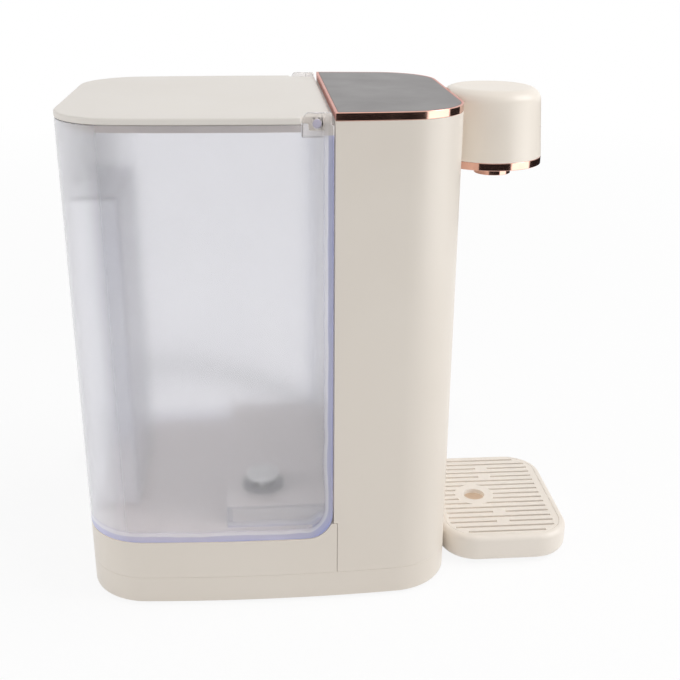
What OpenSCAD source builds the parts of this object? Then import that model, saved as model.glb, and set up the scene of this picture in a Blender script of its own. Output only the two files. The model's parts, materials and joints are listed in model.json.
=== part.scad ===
/* [Body] */
// Widest width across the bowed long sides
body_w = 162.4; // [150:0.2:190]
// Length from the rear of the tank to the front of the column
body_l = 211.6; // [195:0.2:240]
// Height of the control panel above the table
body_h = 282; // [260:1:320]
// Radius of the four upright corners
corner_r = 35.4; // [28:0.2:42]
// Outward bow of each long side
side_bow = 5.4; // [3:0.2:8]
// Wall of the moulded housing
shell_t = 2.6; // [2:0.1:3.4]
// Depth of the column from its front to its rear face
column_l = 70; // [66:0.5:80]
// Height of the bottom pan
pan_h = 16; // [15.5:0.5:20]
// Height of the deck under the tank above the bottom pan
deck_h = 23; // [21:0.5:30]
// Height of the rubber feet
foot_h = 2; // [1:0.5:4]
// Radius of the rubber feet
foot_r = 7; // [5:0.5:9]

/* [Control panel] */
// Height of the copper-coloured trim
trim_h = 4.2; // [3.4:0.2:6]
// Width of the trim's upper edge
trim_t = 1.4; // [1:0.1:2.4]
// Thickness of the control panel
panel_t = 2.2; // [1.6:0.1:2.8]
// Thickness of the touch board
touch_t = 1.6; // [1:0.1:2]

/* [Outlet head] */
// Radius of the head at its copper-coloured band
head_r = 30.3; // [27:0.1:34]
// Distance from the column front to the head's axis
head_reach = 24.7; // [22:0.1:27]
// Height of the head with its band
head_h = 42.6; // [39:0.2:50]
// How far the head's top stands above the control panel
head_rise = 1.8; // [0:0.2:6]
// Radius lost between the band and the head's top
head_draft = 2.1; // [1:0.1:3]
// Rounding of the head's top edge
head_fillet = 7.5; // [4:0.5:10]
// Height of the copper-coloured band
band_h = 4.3; // [3:0.1:6]
// Outer radius of the nozzle
nozzle_r = 10.5; // [9:0.1:12]
// Height of the nozzle below the head
nozzle_h = 7.1; // [5:0.1:10]
// Distance from the head's axis forward to the nozzle's axis
nozzle_ahead = 3; // [1:0.1:5]

/* [Tank] */
// Wall of the water tank
tank_t = 2.4; // [2:0.1:3]
// Floor of the water tank
floor_t = 3; // [2.4:0.1:3.6]
// Gap between the tank and the column
tank_gap = 0.6; // [0.4:0.1:1]
// Gap between the tank and the deck it stands on
seat_gap = 0.3; // [0.3:0.1:0.6]
// Radius of the tank's lower front edge
tank_edge_r = 15; // [12:0.5:18]
// Width of the raised floor, across the water side
raised_w = 139; // [120:1:144]
// Length of the raised floor behind the tank's front face
raised_l = 60; // [56:1:70]
// Height of the raised floor above the deck
raised_h = 14; // [12:0.5:18]
// Width of the rear grip recess
grip_w = 80; // [70:1:84]
// Depth of the rear grip recess
grip_d = 27; // [22:0.5:32]
// Height of the rear grip recess
grip_h = 183; // [150:1:190]
// Height of the grip recess above the tank's floor
grip_up = 3; // [2:0.5:8]
// Distance of the valve to the side of the tank's middle
valve_side = 45; // [38:0.5:48]
// Distance of the valve behind the tank's front face
valve_back = 39; // [32:0.5:40]
// Outer radius of the valve body
valve_r = 9; // [8:0.1:10]

/* [Lid] */
// Thickness of the lid plate
lid_t = 3.5; // [3:0.1:4.5]
// How far the lid's top lies below the control panel
lid_drop = 2.2; // [1:0.1:4]
// Depth of the gasket skirt under the lid
skirt_h = 4; // [3:0.1:6]
// Distance of the hinge axis behind the tank's front face
hinge_back = 8.5; // [8:0.1:10]
// Radius of the hinge pins
pin_r = 2.2; // [1.8:0.1:2.6]
// Length of each hinge ear along the tank
ear_l = 14.4; // [12:0.2:16]
// Thickness of each hinge ear
ear_t = 4; // [3:0.1:5]

/* [Drip tray] */
// Width of the drip tray
tray_w = 106; // [90:0.5:120]
// Distance from the column front to the tray's front
tray_reach = 80.8; // [74:0.2:95]
// Height of the drip tray
tray_h = 17.5; // [16:0.5:22]
// Radius of the tray's upright corners
tray_r = 22.4; // [16:0.2:26]
// Wall of the drip tray
tray_t = 2.4; // [2:0.1:3]
// Thickness of the drip grate
grate_t = 3; // [2.4:0.1:4]
// Width of the tray's rim around the grate
rim_w = 4; // [3.4:0.1:5]
// Width of the slots in the grate
slot_w = 1.8; // [1.4:0.1:2.4]
// Distance from slot to slot
slot_pitch = 5.7; // [5:0.1:7]
// Number of slots
slot_count = 17; // [13:2:17]
// Radius of the finger hole in the grate
finger_r = 6.8; // [5:0.1:8]

/* [Water circuit] */
// Outer radius of the heater tube
heater_r = 15; // [13:0.5:17]
// From the heater's upper end up to the middle of the outlet hose
heater_drop = 43; // [40:1:67]
// Outer radius of the pump housing
pump_r = 18; // [16:0.5:19]
// Outer radius of the pump motor
motor_r = 14; // [12:0.5:15]
// Length of the pump motor
motor_l = 38; // [30:1:44]
// Outer radius of the hoses
hose_r = 4.6; // [4.2:0.1:5]
// Wall of the hoses
hose_t = 1.5; // [1:0.1:1.6]
// Thickness of the power board
board_t = 1.6; // [1.2:0.1:2]
// Radius of the case screws
screw_r = 1.5; // [1.2:0.1:1.8]

/* [Mains lead] */
// Diameter of the mains lead
cord_d = 6.4; // [6:0.1:6.8]
// Diameter of the coil at the middle of its turns
coil_d = 68; // [66:1:72]
// Length of the strain relief outside the housing
relief_l = 30; // [24:1:32]

/* [Hidden] */
$fn = 64;

// Colours
cream = [0.90, 0.87, 0.81];
copper = [0.80, 0.54, 0.46];
frosted = [0.84, 0.85, 0.93, 0.45];
smoke = [0.42, 0.41, 0.42];
dark = [0.16, 0.16, 0.17];
white = [0.93, 0.93, 0.91];
steel = [0.75, 0.76, 0.78];
green = [0.10, 0.36, 0.24];

// Clearances: fixed fits, running pins, joint lines, and pieces that move past each other
fit = 0.03;
running = 0.05;
seam_gap = 0.2;
play = 0.5;
// Larger than the whole object, for cutting planes
far = 4 * (body_l + body_h);
// Overshoot of a cut past the face it opens
over = 1;

// Main planes
rear_y = (body_l + tray_reach) / 2;
front_y = rear_y - body_l;
mid_y = (rear_y + front_y) / 2;
back_y = front_y + column_l;
tank_y = back_y + tank_gap;
tray_front_y = front_y - tray_reach;
seam_z = foot_h + pan_h;
deck_z = seam_z + deck_h;
tank_z = deck_z + seat_gap;
trim_z = body_h - trim_h;
lid_top = body_h - lid_drop;
lid_z = lid_top - lid_t;
tank_top = lid_z - seat_gap;

// Plan outline: bowed sides that run tangent into the corner arcs
bow_r = pow(body_l / 2, 2) / (2 * side_bow) + side_bow / 2;
bow_x = body_w / 2 - bow_r;
corner_x = bow_x + sqrt(pow(bow_r - corner_r, 2) - pow(body_l / 2 - corner_r, 2));
bow_a = asin((body_l / 2 - corner_r) / (bow_r - corner_r));
corner_steps = 16;
side_steps = 10;

function arc(c, r, a0, a1, n, first = 0, last = 0) =
    [for (i = [first:n - last]) c + r * [cos(a0 + (a1 - a0) * i / n), sin(a0 + (a1 - a0) * i / n)]];
function corner(sx, y, d, a0, a1) = arc([sx * corner_x, y], corner_r - d, a0, a1, corner_steps);
function side(sx, d, a0, a1) = arc([sx * bow_x, mid_y], bow_r - d, a0, a1, side_steps, 1, 1);
function plan(d) = concat(
    corner(1, front_y + corner_r, d, -90, -bow_a),
    side(1, d, -bow_a, bow_a),
    corner(1, rear_y - corner_r, d, bow_a, 90),
    corner(-1, rear_y - corner_r, d, 90, 180 - bow_a),
    side(-1, d, 180 - bow_a, 180 + bow_a),
    corner(-1, front_y + corner_r, d, 180 + bow_a, 270));
// Half width of the plan at a station along the side, inset from the outside by d
function side_x(y, d) = bow_x + sqrt(pow(bow_r - d, 2) - pow(y - mid_y, 2));

module slab(d, z0, z1) {
    translate([0, 0, z0]) linear_extrude(z1 - z0) polygon(plan(d));
}
// The part of the plan between two stations, extruded from z0 to z1
module block(d, y0, y1, z0, z1) {
    translate([0, 0, z0]) linear_extrude(z1 - z0) intersection() {
        polygon(plan(d));
        translate([-body_w, y0]) square([2 * body_w, y1 - y0]);
    }
}
// A strip that follows the plan between two insets
module strip(d0, d1, y0, y1, z0, z1) {
    difference() {
        block(d0, y0, y1, z0, z1);
        block(d1, y0 - over, y1 + over, z0 - over, z1 + over);
    }
}
// A side profile drawn in y and z, extruded across the width w
module across(w) {
    translate([-w / 2, 0, 0]) rotate([90, 0, 90]) linear_extrude(w) children();
}
module box(low, high) {
    translate(low) cube(high - low);
}
module rod_x(x0, x1, y, z, r) {
    translate([x0, y, z]) rotate([0, 90, 0]) cylinder(r = r, h = x1 - x0);
}
module rod_y(x, y0, y1, z, r) {
    translate([x, y0, z]) rotate([-90, 0, 0]) cylinder(r = r, h = y1 - y0);
}
module rod_z(x, y, z0, z1, r) {
    translate([x, y, z0]) cylinder(r = r, h = z1 - z0);
}
// A tube swept along points, as one closed skin of triangles
function unit(v) = v / norm(v);
function heading(p, i) = unit(p[min(i + 1, len(p) - 1)] - p[max(i - 1, 0)]);
// A ring of n points about the path, turned by a direction that the path never takes
function ring(p, i, r, n, ref) =
    let (t = heading(p, i), s = unit(cross(t, ref)), u = cross(s, t))
    [for (k = [0:n - 1]) p[i] + r * (cos(360 * k / n) * s + sin(360 * k / n) * u)];
function rings(p, r, n, ref) = [for (i = [0:len(p) - 1]) each ring(p, i, r, n, ref)];
// Triangles between m rings of n points, which start at point number o
function skin(m, n, o, inward) = [
    for (i = [0:m - 2], k = [0:n - 1], j = [0:1])
        let (a = o + i * n + k, b = o + i * n + (k + 1) % n)
        inward ? (j == 0 ? [a, b + n, b] : [a, a + n, b + n]) : (j == 0 ? [a, b, b + n] : [a, b + n, a + n])];
module tube(p, r, n) {
    m = len(p);
    polyhedron(concat(rings(p, r, n, [0, 0, 1]), [p[0], p[m - 1]]), concat(
        skin(m, n, 0, false),
        [for (k = [0:n - 1]) [m * n, (k + 1) % n, k]],
        [for (k = [0:n - 1]) [m * n + 1, (m - 1) * n + k, (m - 1) * n + (k + 1) % n]]));
}
hose_sides = 12;
// A hose with its bore, through a smooth curve along the points
module hose(points, ref) {
    n = hose_sides;
    p = smooth(points);
    m = len(p);
    bore_r = (hose_r - hose_t) / cos(180 / n);
    polyhedron(concat(rings(p, hose_r, n, ref), rings(p, bore_r, n, ref)), concat(
        skin(m, n, 0, false),
        skin(m, n, m * n, true),
        [for (k = [0:n - 1], e = [0, 1], j = [0, 1])
            let (o = e * (m - 1) * n, a = o + k, b = o + (k + 1) % n, c = m * n + a, d = m * n + b)
            e == 0 ? (j == 0 ? [d, b, a] : [d, a, c]) : (j == 0 ? [a, b, d] : [a, d, c])]));
}
// Least distance between the skins of turns that lie beside or on each other
function self_gap(p, skip, d) =
    min([for (i = [0:len(p) - 1 - skip], j = [i + skip:len(p) - 1]) norm(p[i] - p[j])]) - d;
// A smooth curve through the route's own points, with one more ring between each two
function between(p, i) = (9 * (p[i] + p[i + 1]) - p[max(i - 1, 0)] - p[min(i + 2, len(p) - 1)]) / 16;
function smooth(p) = concat([for (i = [0:len(p) - 2]) each [p[i], between(p, i)]], [p[len(p) - 1]]);

// Housing details
pan_t = 2.4;
deck_t = 2.4;
back_t = 2.4;
boss_r = 4.5;
boss_h = 14;
bore_z = foot_h + pan_h / 2;
screw_head_r = 2 * screw_r;
screw_head_h = 2.2;
screw_ys = [front_y + 36, rear_y - 46];
screw_points = [for (y = screw_ys, s = [-1, 1]) [s * side_x(y, shell_t + boss_r - 0.8), y]];
foot_points = [for (y = [front_y + 30, rear_y - 30], s = [-1, 1]) [s * (corner_x + 6), y]];
lip_step = 1.9;
cradle_y = back_y - lip_step;
lip_h = 9.3;
lip_z = deck_z + lip_h;
raised_z = deck_z + raised_h;
raised_half = raised_w / 2 - tank_t;
back_z = raised_z + seam_gap;
tongue_w = 18;
tongue_t = 3;
tongue_l = 13;
tongue_x = tray_w / 2 - tray_r - tongue_w / 2;
tongue_z = foot_h + 6;
vent_pitch = 10;
vent_w = 4;

module bottom_pan() {
    color(cream) difference() {
        union() {
            difference() {
                slab(0, foot_h, seam_z);
                slab(shell_t, foot_h + pan_t, seam_z + over);
            }
            for (p = screw_points) rod_z(p.x, p.y, foot_h, seam_z, boss_r);
        }
        for (p = screw_points) {
            rod_z(p.x, p.y, foot_h - over, seam_z + over, screw_r + fit);
            rod_z(p.x, p.y, foot_h - over, bore_z, screw_head_r + seam_gap);
        }
        for (s = [-1, 1]) box(
            [s * tongue_x - tongue_w / 2 - play, front_y - over, tongue_z - play],
            [s * tongue_x + tongue_w / 2 + play, front_y + shell_t + over, tongue_z + tongue_t + play]);
        for (i = [-3:3]) box([vent_pitch * i - vent_w / 2, back_y - 50, foot_h - over],
            [vent_pitch * i + vent_w / 2, back_y - 20, foot_h + pan_t + over]);
        along_relief(-shell_t - 3) cylinder(r = relief_neck_r + fit, h = shell_t + 3 + over);
    }
}
module rubber_feet() {
    color(dark) for (p = foot_points) rod_z(p.x, p.y, 0, foot_h, foot_r);
}
lip_r = tank_edge_r + seat_gap;
edge_y = tank_y + tank_edge_r;
edge_z = tank_z + tank_edge_r;
lip_a = 180 + asin((edge_z - lip_z) / lip_r);
module base_cradle() {
    color(cream) difference() {
        union() {
            difference() {
                block(0, cradle_y, far, seam_z, deck_z);
                block(shell_t, cradle_y - over, far, seam_z - over, deck_z - deck_t);
            }
            intersection() {
                across(body_w) polygon(concat(
                    [[cradle_y, lip_z], [cradle_y, deck_z - deck_t], [edge_y, deck_z - deck_t]],
                    arc([edge_y, edge_z], lip_r, 270, lip_a, 12)));
                block(0, cradle_y, far, seam_z, lip_z);
            }
            box([play - raised_half, cradle_y, deck_z - deck_t],
                [raised_half - play, tank_y + raised_l - tank_t - play, raised_z]);
            for (p = screw_points) if (p.y > cradle_y) rod_z(p.x, p.y, seam_z, seam_z + boss_h, boss_r);
        }
        box([play - raised_half + shell_t, cradle_y - over, seam_z - over],
            [raised_half - play - shell_t, tank_y + raised_l - tank_t - play - shell_t, raised_z - deck_t]);
        rod_z(valve_x, valve_y, deck_z, raised_z + over, socket_r + fit);
        for (p = screw_points) rod_z(p.x, p.y, seam_z - over, seam_z + boss_h - 2, screw_r + fit);
    }
}
rib_w = 3;
rib_l = 2;
carrier_h = 12;
carrier_z = trim_z - carrier_h;
module column_shell() {
    color(cream) difference() {
        union() {
            difference() {
                block(0, -far, back_y, seam_z, trim_z);
                block(shell_t, -far, back_y + over, seam_z - over, trim_z + over);
            }
            strip(shell_t - over / 2, shell_t + rib_w, back_y - back_t - rib_l, back_y - back_t,
                back_z, carrier_z - seam_gap);
            for (p = screw_points) if (p.y < cradle_y) rod_z(p.x, p.y, seam_z, seam_z + boss_h, boss_r);
        }
        block(-over, cradle_y - seam_gap, back_y + over, seam_z - over, lip_z + seam_gap);
        for (p = screw_points) rod_z(p.x, p.y, seam_z - over, seam_z + boss_h - 2, screw_r + fit);
        rod_y(0, front_y - over, front_y + shell_t + over, outlet_z, hose_r + play);
    }
}
module column_back() {
    color(cream) block(shell_t + seam_gap, back_y - back_t, back_y, back_z, trim_z);
}

// Control panel and what lies under it
ledge_w = 3;
ledge_z = body_h - panel_t;
carrier_t = 2;
touch_z = carrier_z + carrier_t + 3;
carrier_y = back_y - back_t - seam_gap;
post_points = [[-1, front_y + 16], [1, front_y + 16], [-1, back_y - 16], [1, back_y - 16]];
pillar_pitch = 20;
module panel_trim() {
    color(copper) difference() {
        block(0, -far, back_y, trim_z, body_h);
        block(trim_t, -far, back_y - trim_t, ledge_z, body_h + over);
        block(trim_t + ledge_w, -far, back_y - trim_t - ledge_w, trim_z - over, body_h + over);
    }
}
module control_panel() {
    color(smoke) block(trim_t + fit, -far, back_y - trim_t - fit, ledge_z, body_h);
}
module panel_carrier() {
    inset = shell_t + seam_gap;
    color(white) {
        difference() {
            block(inset, -far, carrier_y, carrier_z, trim_z);
            block(inset + carrier_t, -far, carrier_y - carrier_t, carrier_z + carrier_t, trim_z + over);
        }
        for (p = post_points) rod_z(p.x * (corner_x - 4), p.y, carrier_z, touch_z, 3);
    }
}
module touch_board() {
    inset = shell_t + seam_gap + carrier_t + play;
    color(green) block(inset, -far, carrier_y - carrier_t - play, touch_z, touch_z + touch_t);
}
module touch_pillars() {
    color(dark) for (i = [-2:2]) rod_z(pillar_pitch * i, mid_column_y, touch_z + touch_t, ledge_z, 3);
}

// Outlet head
head_t = 2.4;
head_y = front_y - head_reach;
head_top = body_h + head_rise;
head_z = head_top - head_h;
band_z = head_z + band_h;
head_floor_z = head_z + 0.4;
head_floor_t = 2.4;
nozzle_y = head_y - nozzle_ahead;
nozzle_z = head_floor_z - nozzle_h;
spigot_r = hose_r - hose_t - fit;
spigot_bore = spigot_r - 1.1;
spigot_l = 12;
stem_r = 7;
stem_bore = 5;
separator_r = 14;
separator_z = head_floor_z + head_floor_t;
separator_h = 24;
outlet_z = separator_z + separator_h / 2;
function head_profile(d, z0) = concat(
    [[0, z0], [head_r - d, z0]],
    arc([head_r - head_draft - head_fillet, head_top - head_fillet], head_fillet - d, 0, 90, 8),
    [[0, head_top - d]]);
// Keeps what lies ahead of a plane
module ahead_of(y) {
    intersection() {
        children();
        translate([-far / 2, y - far, 0]) cube(far);
    }
}
module head_shell() {
    color(cream) difference() {
        ahead_of(front_y) translate([0, head_y, 0]) rotate_extrude() polygon(head_profile(0, band_z));
        ahead_of(front_y - head_t) translate([0, head_y, 0])
            rotate_extrude() polygon(head_profile(head_t, band_z - over));
        rod_y(0, front_y - head_t - over, front_y + over, outlet_z, hose_r + play);
    }
}
module head_trim() {
    color(copper) ahead_of(front_y) difference() {
        rod_z(0, head_y, head_z, band_z, head_r);
        rod_z(0, head_y, head_z - over, band_z + over, head_r - head_t);
    }
}
module head_floor() {
    color(cream) ahead_of(front_y - seam_gap) difference() {
        rod_z(0, head_y, head_floor_z, separator_z, head_r - head_t - fit);
        rod_z(0, nozzle_y, head_z - over, separator_z + over, stem_r + fit);
    }
}
module nozzle() {
    color(copper) difference() {
        union() {
            rod_z(0, nozzle_y, nozzle_z, head_floor_z, nozzle_r);
            rod_z(0, nozzle_y, nozzle_z, separator_z + 4, stem_r);
        }
        rod_z(0, nozzle_y, nozzle_z - over, separator_z + 4 + over, stem_bore);
    }
}
module nozzle_insert() {
    color(dark) difference() {
        rod_z(0, nozzle_y, nozzle_z + 0.8, separator_z + 4, stem_bore - fit);
        for (a = [0:60:300]) translate([2.8 * cos(a), 2.8 * sin(a), 0])
            rod_z(0, nozzle_y, nozzle_z, separator_z + 4 + over, 0.9);
    }
}
module separator_inlet(r, y0) {
    rod_y(0, y0, nozzle_y + separator_r + spigot_l, outlet_z, r);
}
module steam_separator() {
    color(white) difference() {
        union() {
            rod_z(0, nozzle_y, separator_z, separator_z + separator_h, separator_r);
            separator_inlet(spigot_r, nozzle_y);
        }
        rod_z(0, nozzle_y, separator_z + 4, separator_z + separator_h - 2, separator_r - 2);
        rod_z(0, nozzle_y, separator_z - over, separator_z + 4 + over, stem_r + fit);
        separator_inlet(spigot_bore, nozzle_y + separator_r - 4);
        rod_y(0, nozzle_y + separator_r, nozzle_y + separator_r + spigot_l + over, outlet_z, spigot_bore);
    }
}

// Tank and lid
grip_z = tank_z + floor_t + grip_up;
grip_top = grip_z + grip_h;
step_top = raised_z + seat_gap + floor_t;
hinge_y = tank_y + hinge_back;
hinge_z = lid_z + 0.4;
ear_top = lid_top + 2;
sweep_r = 9;
valve_x = -valve_side;
valve_y = tank_y + valve_back;
function tank_side(t, f) = concat(
    arc([tank_y + t + tank_edge_r - f, tank_z + tank_edge_r], tank_edge_r - f, 180, 270, 12),
    [[rear_y + over, tank_z + f], [rear_y + over, tank_top + t], [tank_y + t, tank_top + t]]);
module tank_outside() {
    intersection() {
        block(0, tank_y, far, tank_z, tank_top);
        across(body_w + over) polygon(tank_side(0, 0));
    }
}
module tank_inside() {
    intersection() {
        block(tank_t, tank_y + tank_t, far, tank_z + floor_t, tank_top + over);
        across(body_w) polygon(tank_side(tank_t, floor_t));
    }
}
// Ears for the lid's pins, with the corner that the lid turns past rounded off
module hinge_ears() {
    low = tank_top - 6;
    intersection() {
        strip(0, ear_t, hinge_y - ear_l / 2, hinge_y + ear_l / 2, low, ear_top);
        union() {
            rod_x(-body_w, body_w, hinge_y, hinge_z, ear_l / 2);
            box([-body_w, hinge_y - ear_l, low - over], [body_w, hinge_y, ear_top + over]);
            box([-body_w, hinge_y - ear_l, low - over], [body_w, hinge_y + ear_l, hinge_z]);
        }
    }
}
module tank() {
    color(frosted) difference() {
        union() {
            difference() {
                tank_outside();
                tank_inside();
            }
            intersection() {
                tank_outside();
                union() {
                    box([-raised_w / 2, tank_y, tank_z], [raised_w / 2, tank_y + raised_l, step_top]);
                    box([-grip_w / 2 - tank_t, rear_y - grip_d - tank_t, grip_z - tank_t],
                        [grip_w / 2 + tank_t, rear_y, grip_top + tank_t]);
                }
            }
            hinge_ears();
        }
        box([-raised_half, tank_y - over, tank_z - over],
            [raised_half, tank_y + raised_l - tank_t, raised_z + seat_gap]);
        box([-grip_w / 2, rear_y - grip_d, grip_z], [grip_w / 2, rear_y + over, grip_top]);
        block(ear_t, tank_y - over, tank_y + tank_t + over / 10, hinge_z - sweep_r, tank_top + over);
        rod_z(valve_x, valve_y, raised_z, step_top + over, valve_r + fit);
        rod_x(-body_w, body_w, hinge_y, hinge_z, pin_r + running);
    }
}
knuckle = 4;
knuckle_w = 6;
knuckle_d = ear_t + play;
pin_in_x = side_x(hinge_y, knuckle_d + knuckle_w);
pin_out_x = side_x(hinge_y, play);
// One side or its mirror image
module on_side(s) {
    mirror([s < 0 ? 1 : 0, 0, 0]) children();
}
module tank_lid() {
    color(cream) difference() {
        union() {
            difference() {
                block(0, tank_y + over, far, lid_z, lid_top);
                strip(-over, knuckle_d, tank_y - over, hinge_y + ear_l / 2 + play,
                    lid_z - over, lid_top + over);
            }
            strip(knuckle_d, knuckle_d + knuckle_w, hinge_y - knuckle, hinge_y + knuckle,
                hinge_z - knuckle, lid_z);
        }
        for (s = [-1, 1]) on_side(s) rod_x(pin_in_x, body_w, hinge_y, hinge_z, pin_r + fit);
    }
}
gasket_gap = 0.6;
gasket_t = 2;
module lid_gasket() {
    color(white) strip(tank_t + gasket_gap, tank_t + gasket_gap + gasket_t, hinge_y + ear_l / 2 + play, far,
        lid_z - skirt_h, lid_z);
}
module lid_hinge_pins() {
    color(cream) for (s = [-1, 1]) on_side(s) rod_x(pin_in_x, pin_out_x, hinge_y, hinge_z, pin_r);
}

// Tank valve and the dock it opens in
valve_bore = valve_r - 2;
valve_low = raised_z - 15;
valve_top = step_top + 2;
stroke = 4;
stem_rod_r = 2.5;
hub_r = 4.4;
hub_t = 2;
hub_z = raised_z - 3;
collar_t = 1.5;
collar_r = 5.4;
stem_low = valve_low - 0.5;
plunger_z = valve_top + stroke + seat_gap;
seal_t = 1.8;
spring_r = 4;
spring_wire = 0.8;
spring_turns = 4;
spring_low = stem_low + collar_t + seam_gap + spring_wire / 2;
spring_high = hub_z - seam_gap - spring_wire / 2;
module at_valve() {
    translate([valve_x, valve_y, 0]) children();
}
module valve_body() {
    color(dark) at_valve() {
        difference() {
            union() {
                rod_z(0, 0, valve_low, valve_top, valve_r);
                rod_z(0, 0, step_top, valve_top, valve_r + 3);
            }
            rod_z(0, 0, valve_low - over, valve_top + over, valve_bore);
        }
        difference() {
            union() {
                rod_z(0, 0, hub_z, hub_z + hub_t, hub_r);
                for (a = [0, 90]) rotate(a)
                    box([-valve_bore - 1, -1.2, hub_z], [valve_bore + 1, 1.2, hub_z + hub_t]);
            }
            rod_z(0, 0, hub_z - over, hub_z + hub_t + over, stem_rod_r + running);
        }
    }
}
module valve_plunger() {
    color(white) at_valve() {
        rod_z(0, 0, stem_low, plunger_z, stem_rod_r);
        rod_z(0, 0, stem_low, stem_low + collar_t, collar_r);
        rod_z(0, 0, plunger_z, plunger_z + 2, valve_r + 0.5);
    }
}
module valve_seal() {
    color(dark) at_valve() difference() {
        rod_z(0, 0, plunger_z - seal_t, plunger_z, valve_bore - play);
        rod_z(0, 0, plunger_z - seal_t - over, plunger_z + over, stem_rod_r + fit);
    }
}
curl_rings = 8;
spring_path = [for (i = [0:spring_turns * curl_rings])
    [spring_r * cos(360 * i / curl_rings), spring_r * sin(360 * i / curl_rings),
        spring_low + (spring_high - spring_low) * i / (spring_turns * curl_rings)]];
module valve_spring() {
    color(steel) at_valve() tube(spring_path, spring_wire / 2, 6);
}
socket_gap = 0.6;
socket_bore = valve_r + socket_gap;
socket_r = socket_bore + 2.4;
socket_floor = stem_low - 6;
socket_low = socket_floor - 2;
outlet_side = 5;
dock_spigot_l = 8;
dock_seal_t = 3;
dock_seal_r = valve_r + 2;
module dock_socket() {
    color(white) at_valve() {
        difference() {
            union() {
                rod_z(0, 0, socket_low, raised_z, socket_r);
                rod_z(0, 0, raised_z - deck_t - 2, raised_z - deck_t, socket_r + 3);
                rod_z(outlet_side, 0, socket_low - dock_spigot_l, socket_low + over, spigot_r);
            }
            rod_z(0, 0, socket_floor, raised_z + over, socket_bore);
            rod_z(0, 0, raised_z - dock_seal_t, raised_z + over, dock_seal_r + fit);
            rod_z(outlet_side, 0, socket_low - dock_spigot_l - over, socket_floor + over, spigot_bore);
        }
        rod_z(0, 0, socket_floor - over, stem_low - seat_gap, 1.8);
    }
}
module dock_seal() {
    color(dark) at_valve() difference() {
        rod_z(0, 0, raised_z - dock_seal_t, raised_z, dock_seal_r);
        rod_z(0, 0, raised_z - dock_seal_t - over, raised_z + over, valve_r + 0.35);
    }
}

// Pump, on its side at the foot of the column
mid_column_y = (front_y + back_y) / 2;
pump_y = mid_column_y;
pump_z = foot_h + pan_t + pump_r + 14;
pump_x = -2;
pump_l = 16;
pump_wall = 3;
cover_t = 3;
motor_x = pump_x + pump_l;
shaft_r = 2;
shaft_in = 6;
pump_out_x = pump_x + 7;
module pump_body() {
    color(white) difference() {
        union() {
            rod_x(pump_x, motor_x, pump_y, pump_z, pump_r);
            rod_z(pump_out_x, pump_y, pump_z + pump_r - pump_wall, pump_z + pump_r + spigot_l, spigot_r);
        }
        rod_x(pump_x - over, motor_x - pump_wall, pump_y, pump_z, pump_r - pump_wall);
        rod_x(pump_x, motor_x + over, pump_y, pump_z, shaft_r + running);
        rod_z(pump_out_x, pump_y, pump_z, pump_z + pump_r + spigot_l + over, spigot_bore);
    }
}
module pump_cover() {
    color(white) difference() {
        union() {
            rod_x(pump_x - cover_t, pump_x, pump_y, pump_z, pump_r);
            rod_x(pump_x - cover_t - spigot_l, pump_x, pump_y, pump_z, spigot_r);
        }
        rod_x(pump_x - cover_t - spigot_l - over, pump_x + over, pump_y, pump_z, spigot_bore);
    }
}
vane_r = pump_r - pump_wall - 1.5;
module pump_impeller() {
    color(dark) {
        rod_x(pump_x + 1.5, motor_x + shaft_in, pump_y, pump_z, shaft_r);
        rod_x(pump_x + 8, motor_x - pump_wall - 1, pump_y, pump_z, vane_r);
        for (a = [0:60:300]) translate([pump_x + 1.5, pump_y, pump_z]) rotate([a, 0, 0])
            box([0, 0, -0.8], [7, vane_r - 0.5, 0.8]);
    }
}
module pump_motor() {
    color(steel) difference() {
        rod_x(motor_x, motor_x + motor_l, pump_y, pump_z, motor_r);
        rod_x(motor_x - over, motor_x + shaft_in + over, pump_y, pump_z, shaft_r + running);
    }
}
module pump_saddle() {
    saddle_w = 6;
    color(dark) difference() {
        for (x = [motor_x + 6, motor_x + motor_l - 12]) box(
            [x, pump_y - motor_r * 0.8, foot_h + pan_t], [x + saddle_w, pump_y + motor_r * 0.8, pump_z - 5]);
        rod_x(motor_x, motor_x + motor_l, pump_y, pump_z, motor_r + fit);
    }
}

// Heater, upright in the column
heater_x = -34;
heater_y = mid_column_y;
heater_rise = 68;
heater_z = deck_z + heater_rise;
heater_top = outlet_z - heater_drop;
tube_l = heater_top - heater_z;
tube_t = 1.5;
cap_over = 6;
cap_h = 8;
cap_wall = 2.4;
clamp_zs = [heater_z + 16, heater_top - 26];
clamp_h = 10;
cutout_zs = [heater_z + tube_l * 0.35, heater_z + tube_l * 0.65];
cutout_r = 7.5;
sensor_r = 1.8;
sensor_z = heater_top + 3;
module at_heater() {
    translate([heater_x, heater_y, 0]) children();
}
module heater_tube() {
    color(steel) at_heater() difference() {
        rod_z(0, 0, heater_z, heater_top, heater_r);
        rod_z(0, 0, heater_z - over, heater_top + over, heater_r - tube_t);
    }
}
// End cap over the tube's end at z, turned up or down
module heater_cap(z, up) {
    translate([0, 0, z]) mirror([0, 0, up ? 0 : 1]) difference() {
        union() {
            rod_z(0, 0, -cap_over, cap_h, heater_r + cap_wall);
            rod_z(0, 0, cap_h - over, cap_h + spigot_l, spigot_r);
        }
        rod_z(0, 0, -cap_over - over, 0, heater_r + fit);
        rod_z(0, 0, -over, cap_h - cap_wall, heater_r - 2);
        rod_z(0, 0, 0, cap_h + spigot_l + over, spigot_bore);
    }
}
module heater_caps() {
    color(dark) at_heater() difference() {
        union() {
            heater_cap(heater_z, false);
            heater_cap(heater_top, true);
        }
        rod_x(0, heater_r + cap_wall + over, 0, sensor_z, sensor_r + fit);
    }
}
module temperature_sensor() {
    color(steel) at_heater() {
        rod_x(heater_r - 8, heater_r + cap_wall + 1.5, 0, sensor_z, sensor_r);
        rod_x(heater_r + cap_wall + 0.5, heater_r + cap_wall + 5, 0, sensor_z, 2 * sensor_r);
    }
}
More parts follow.
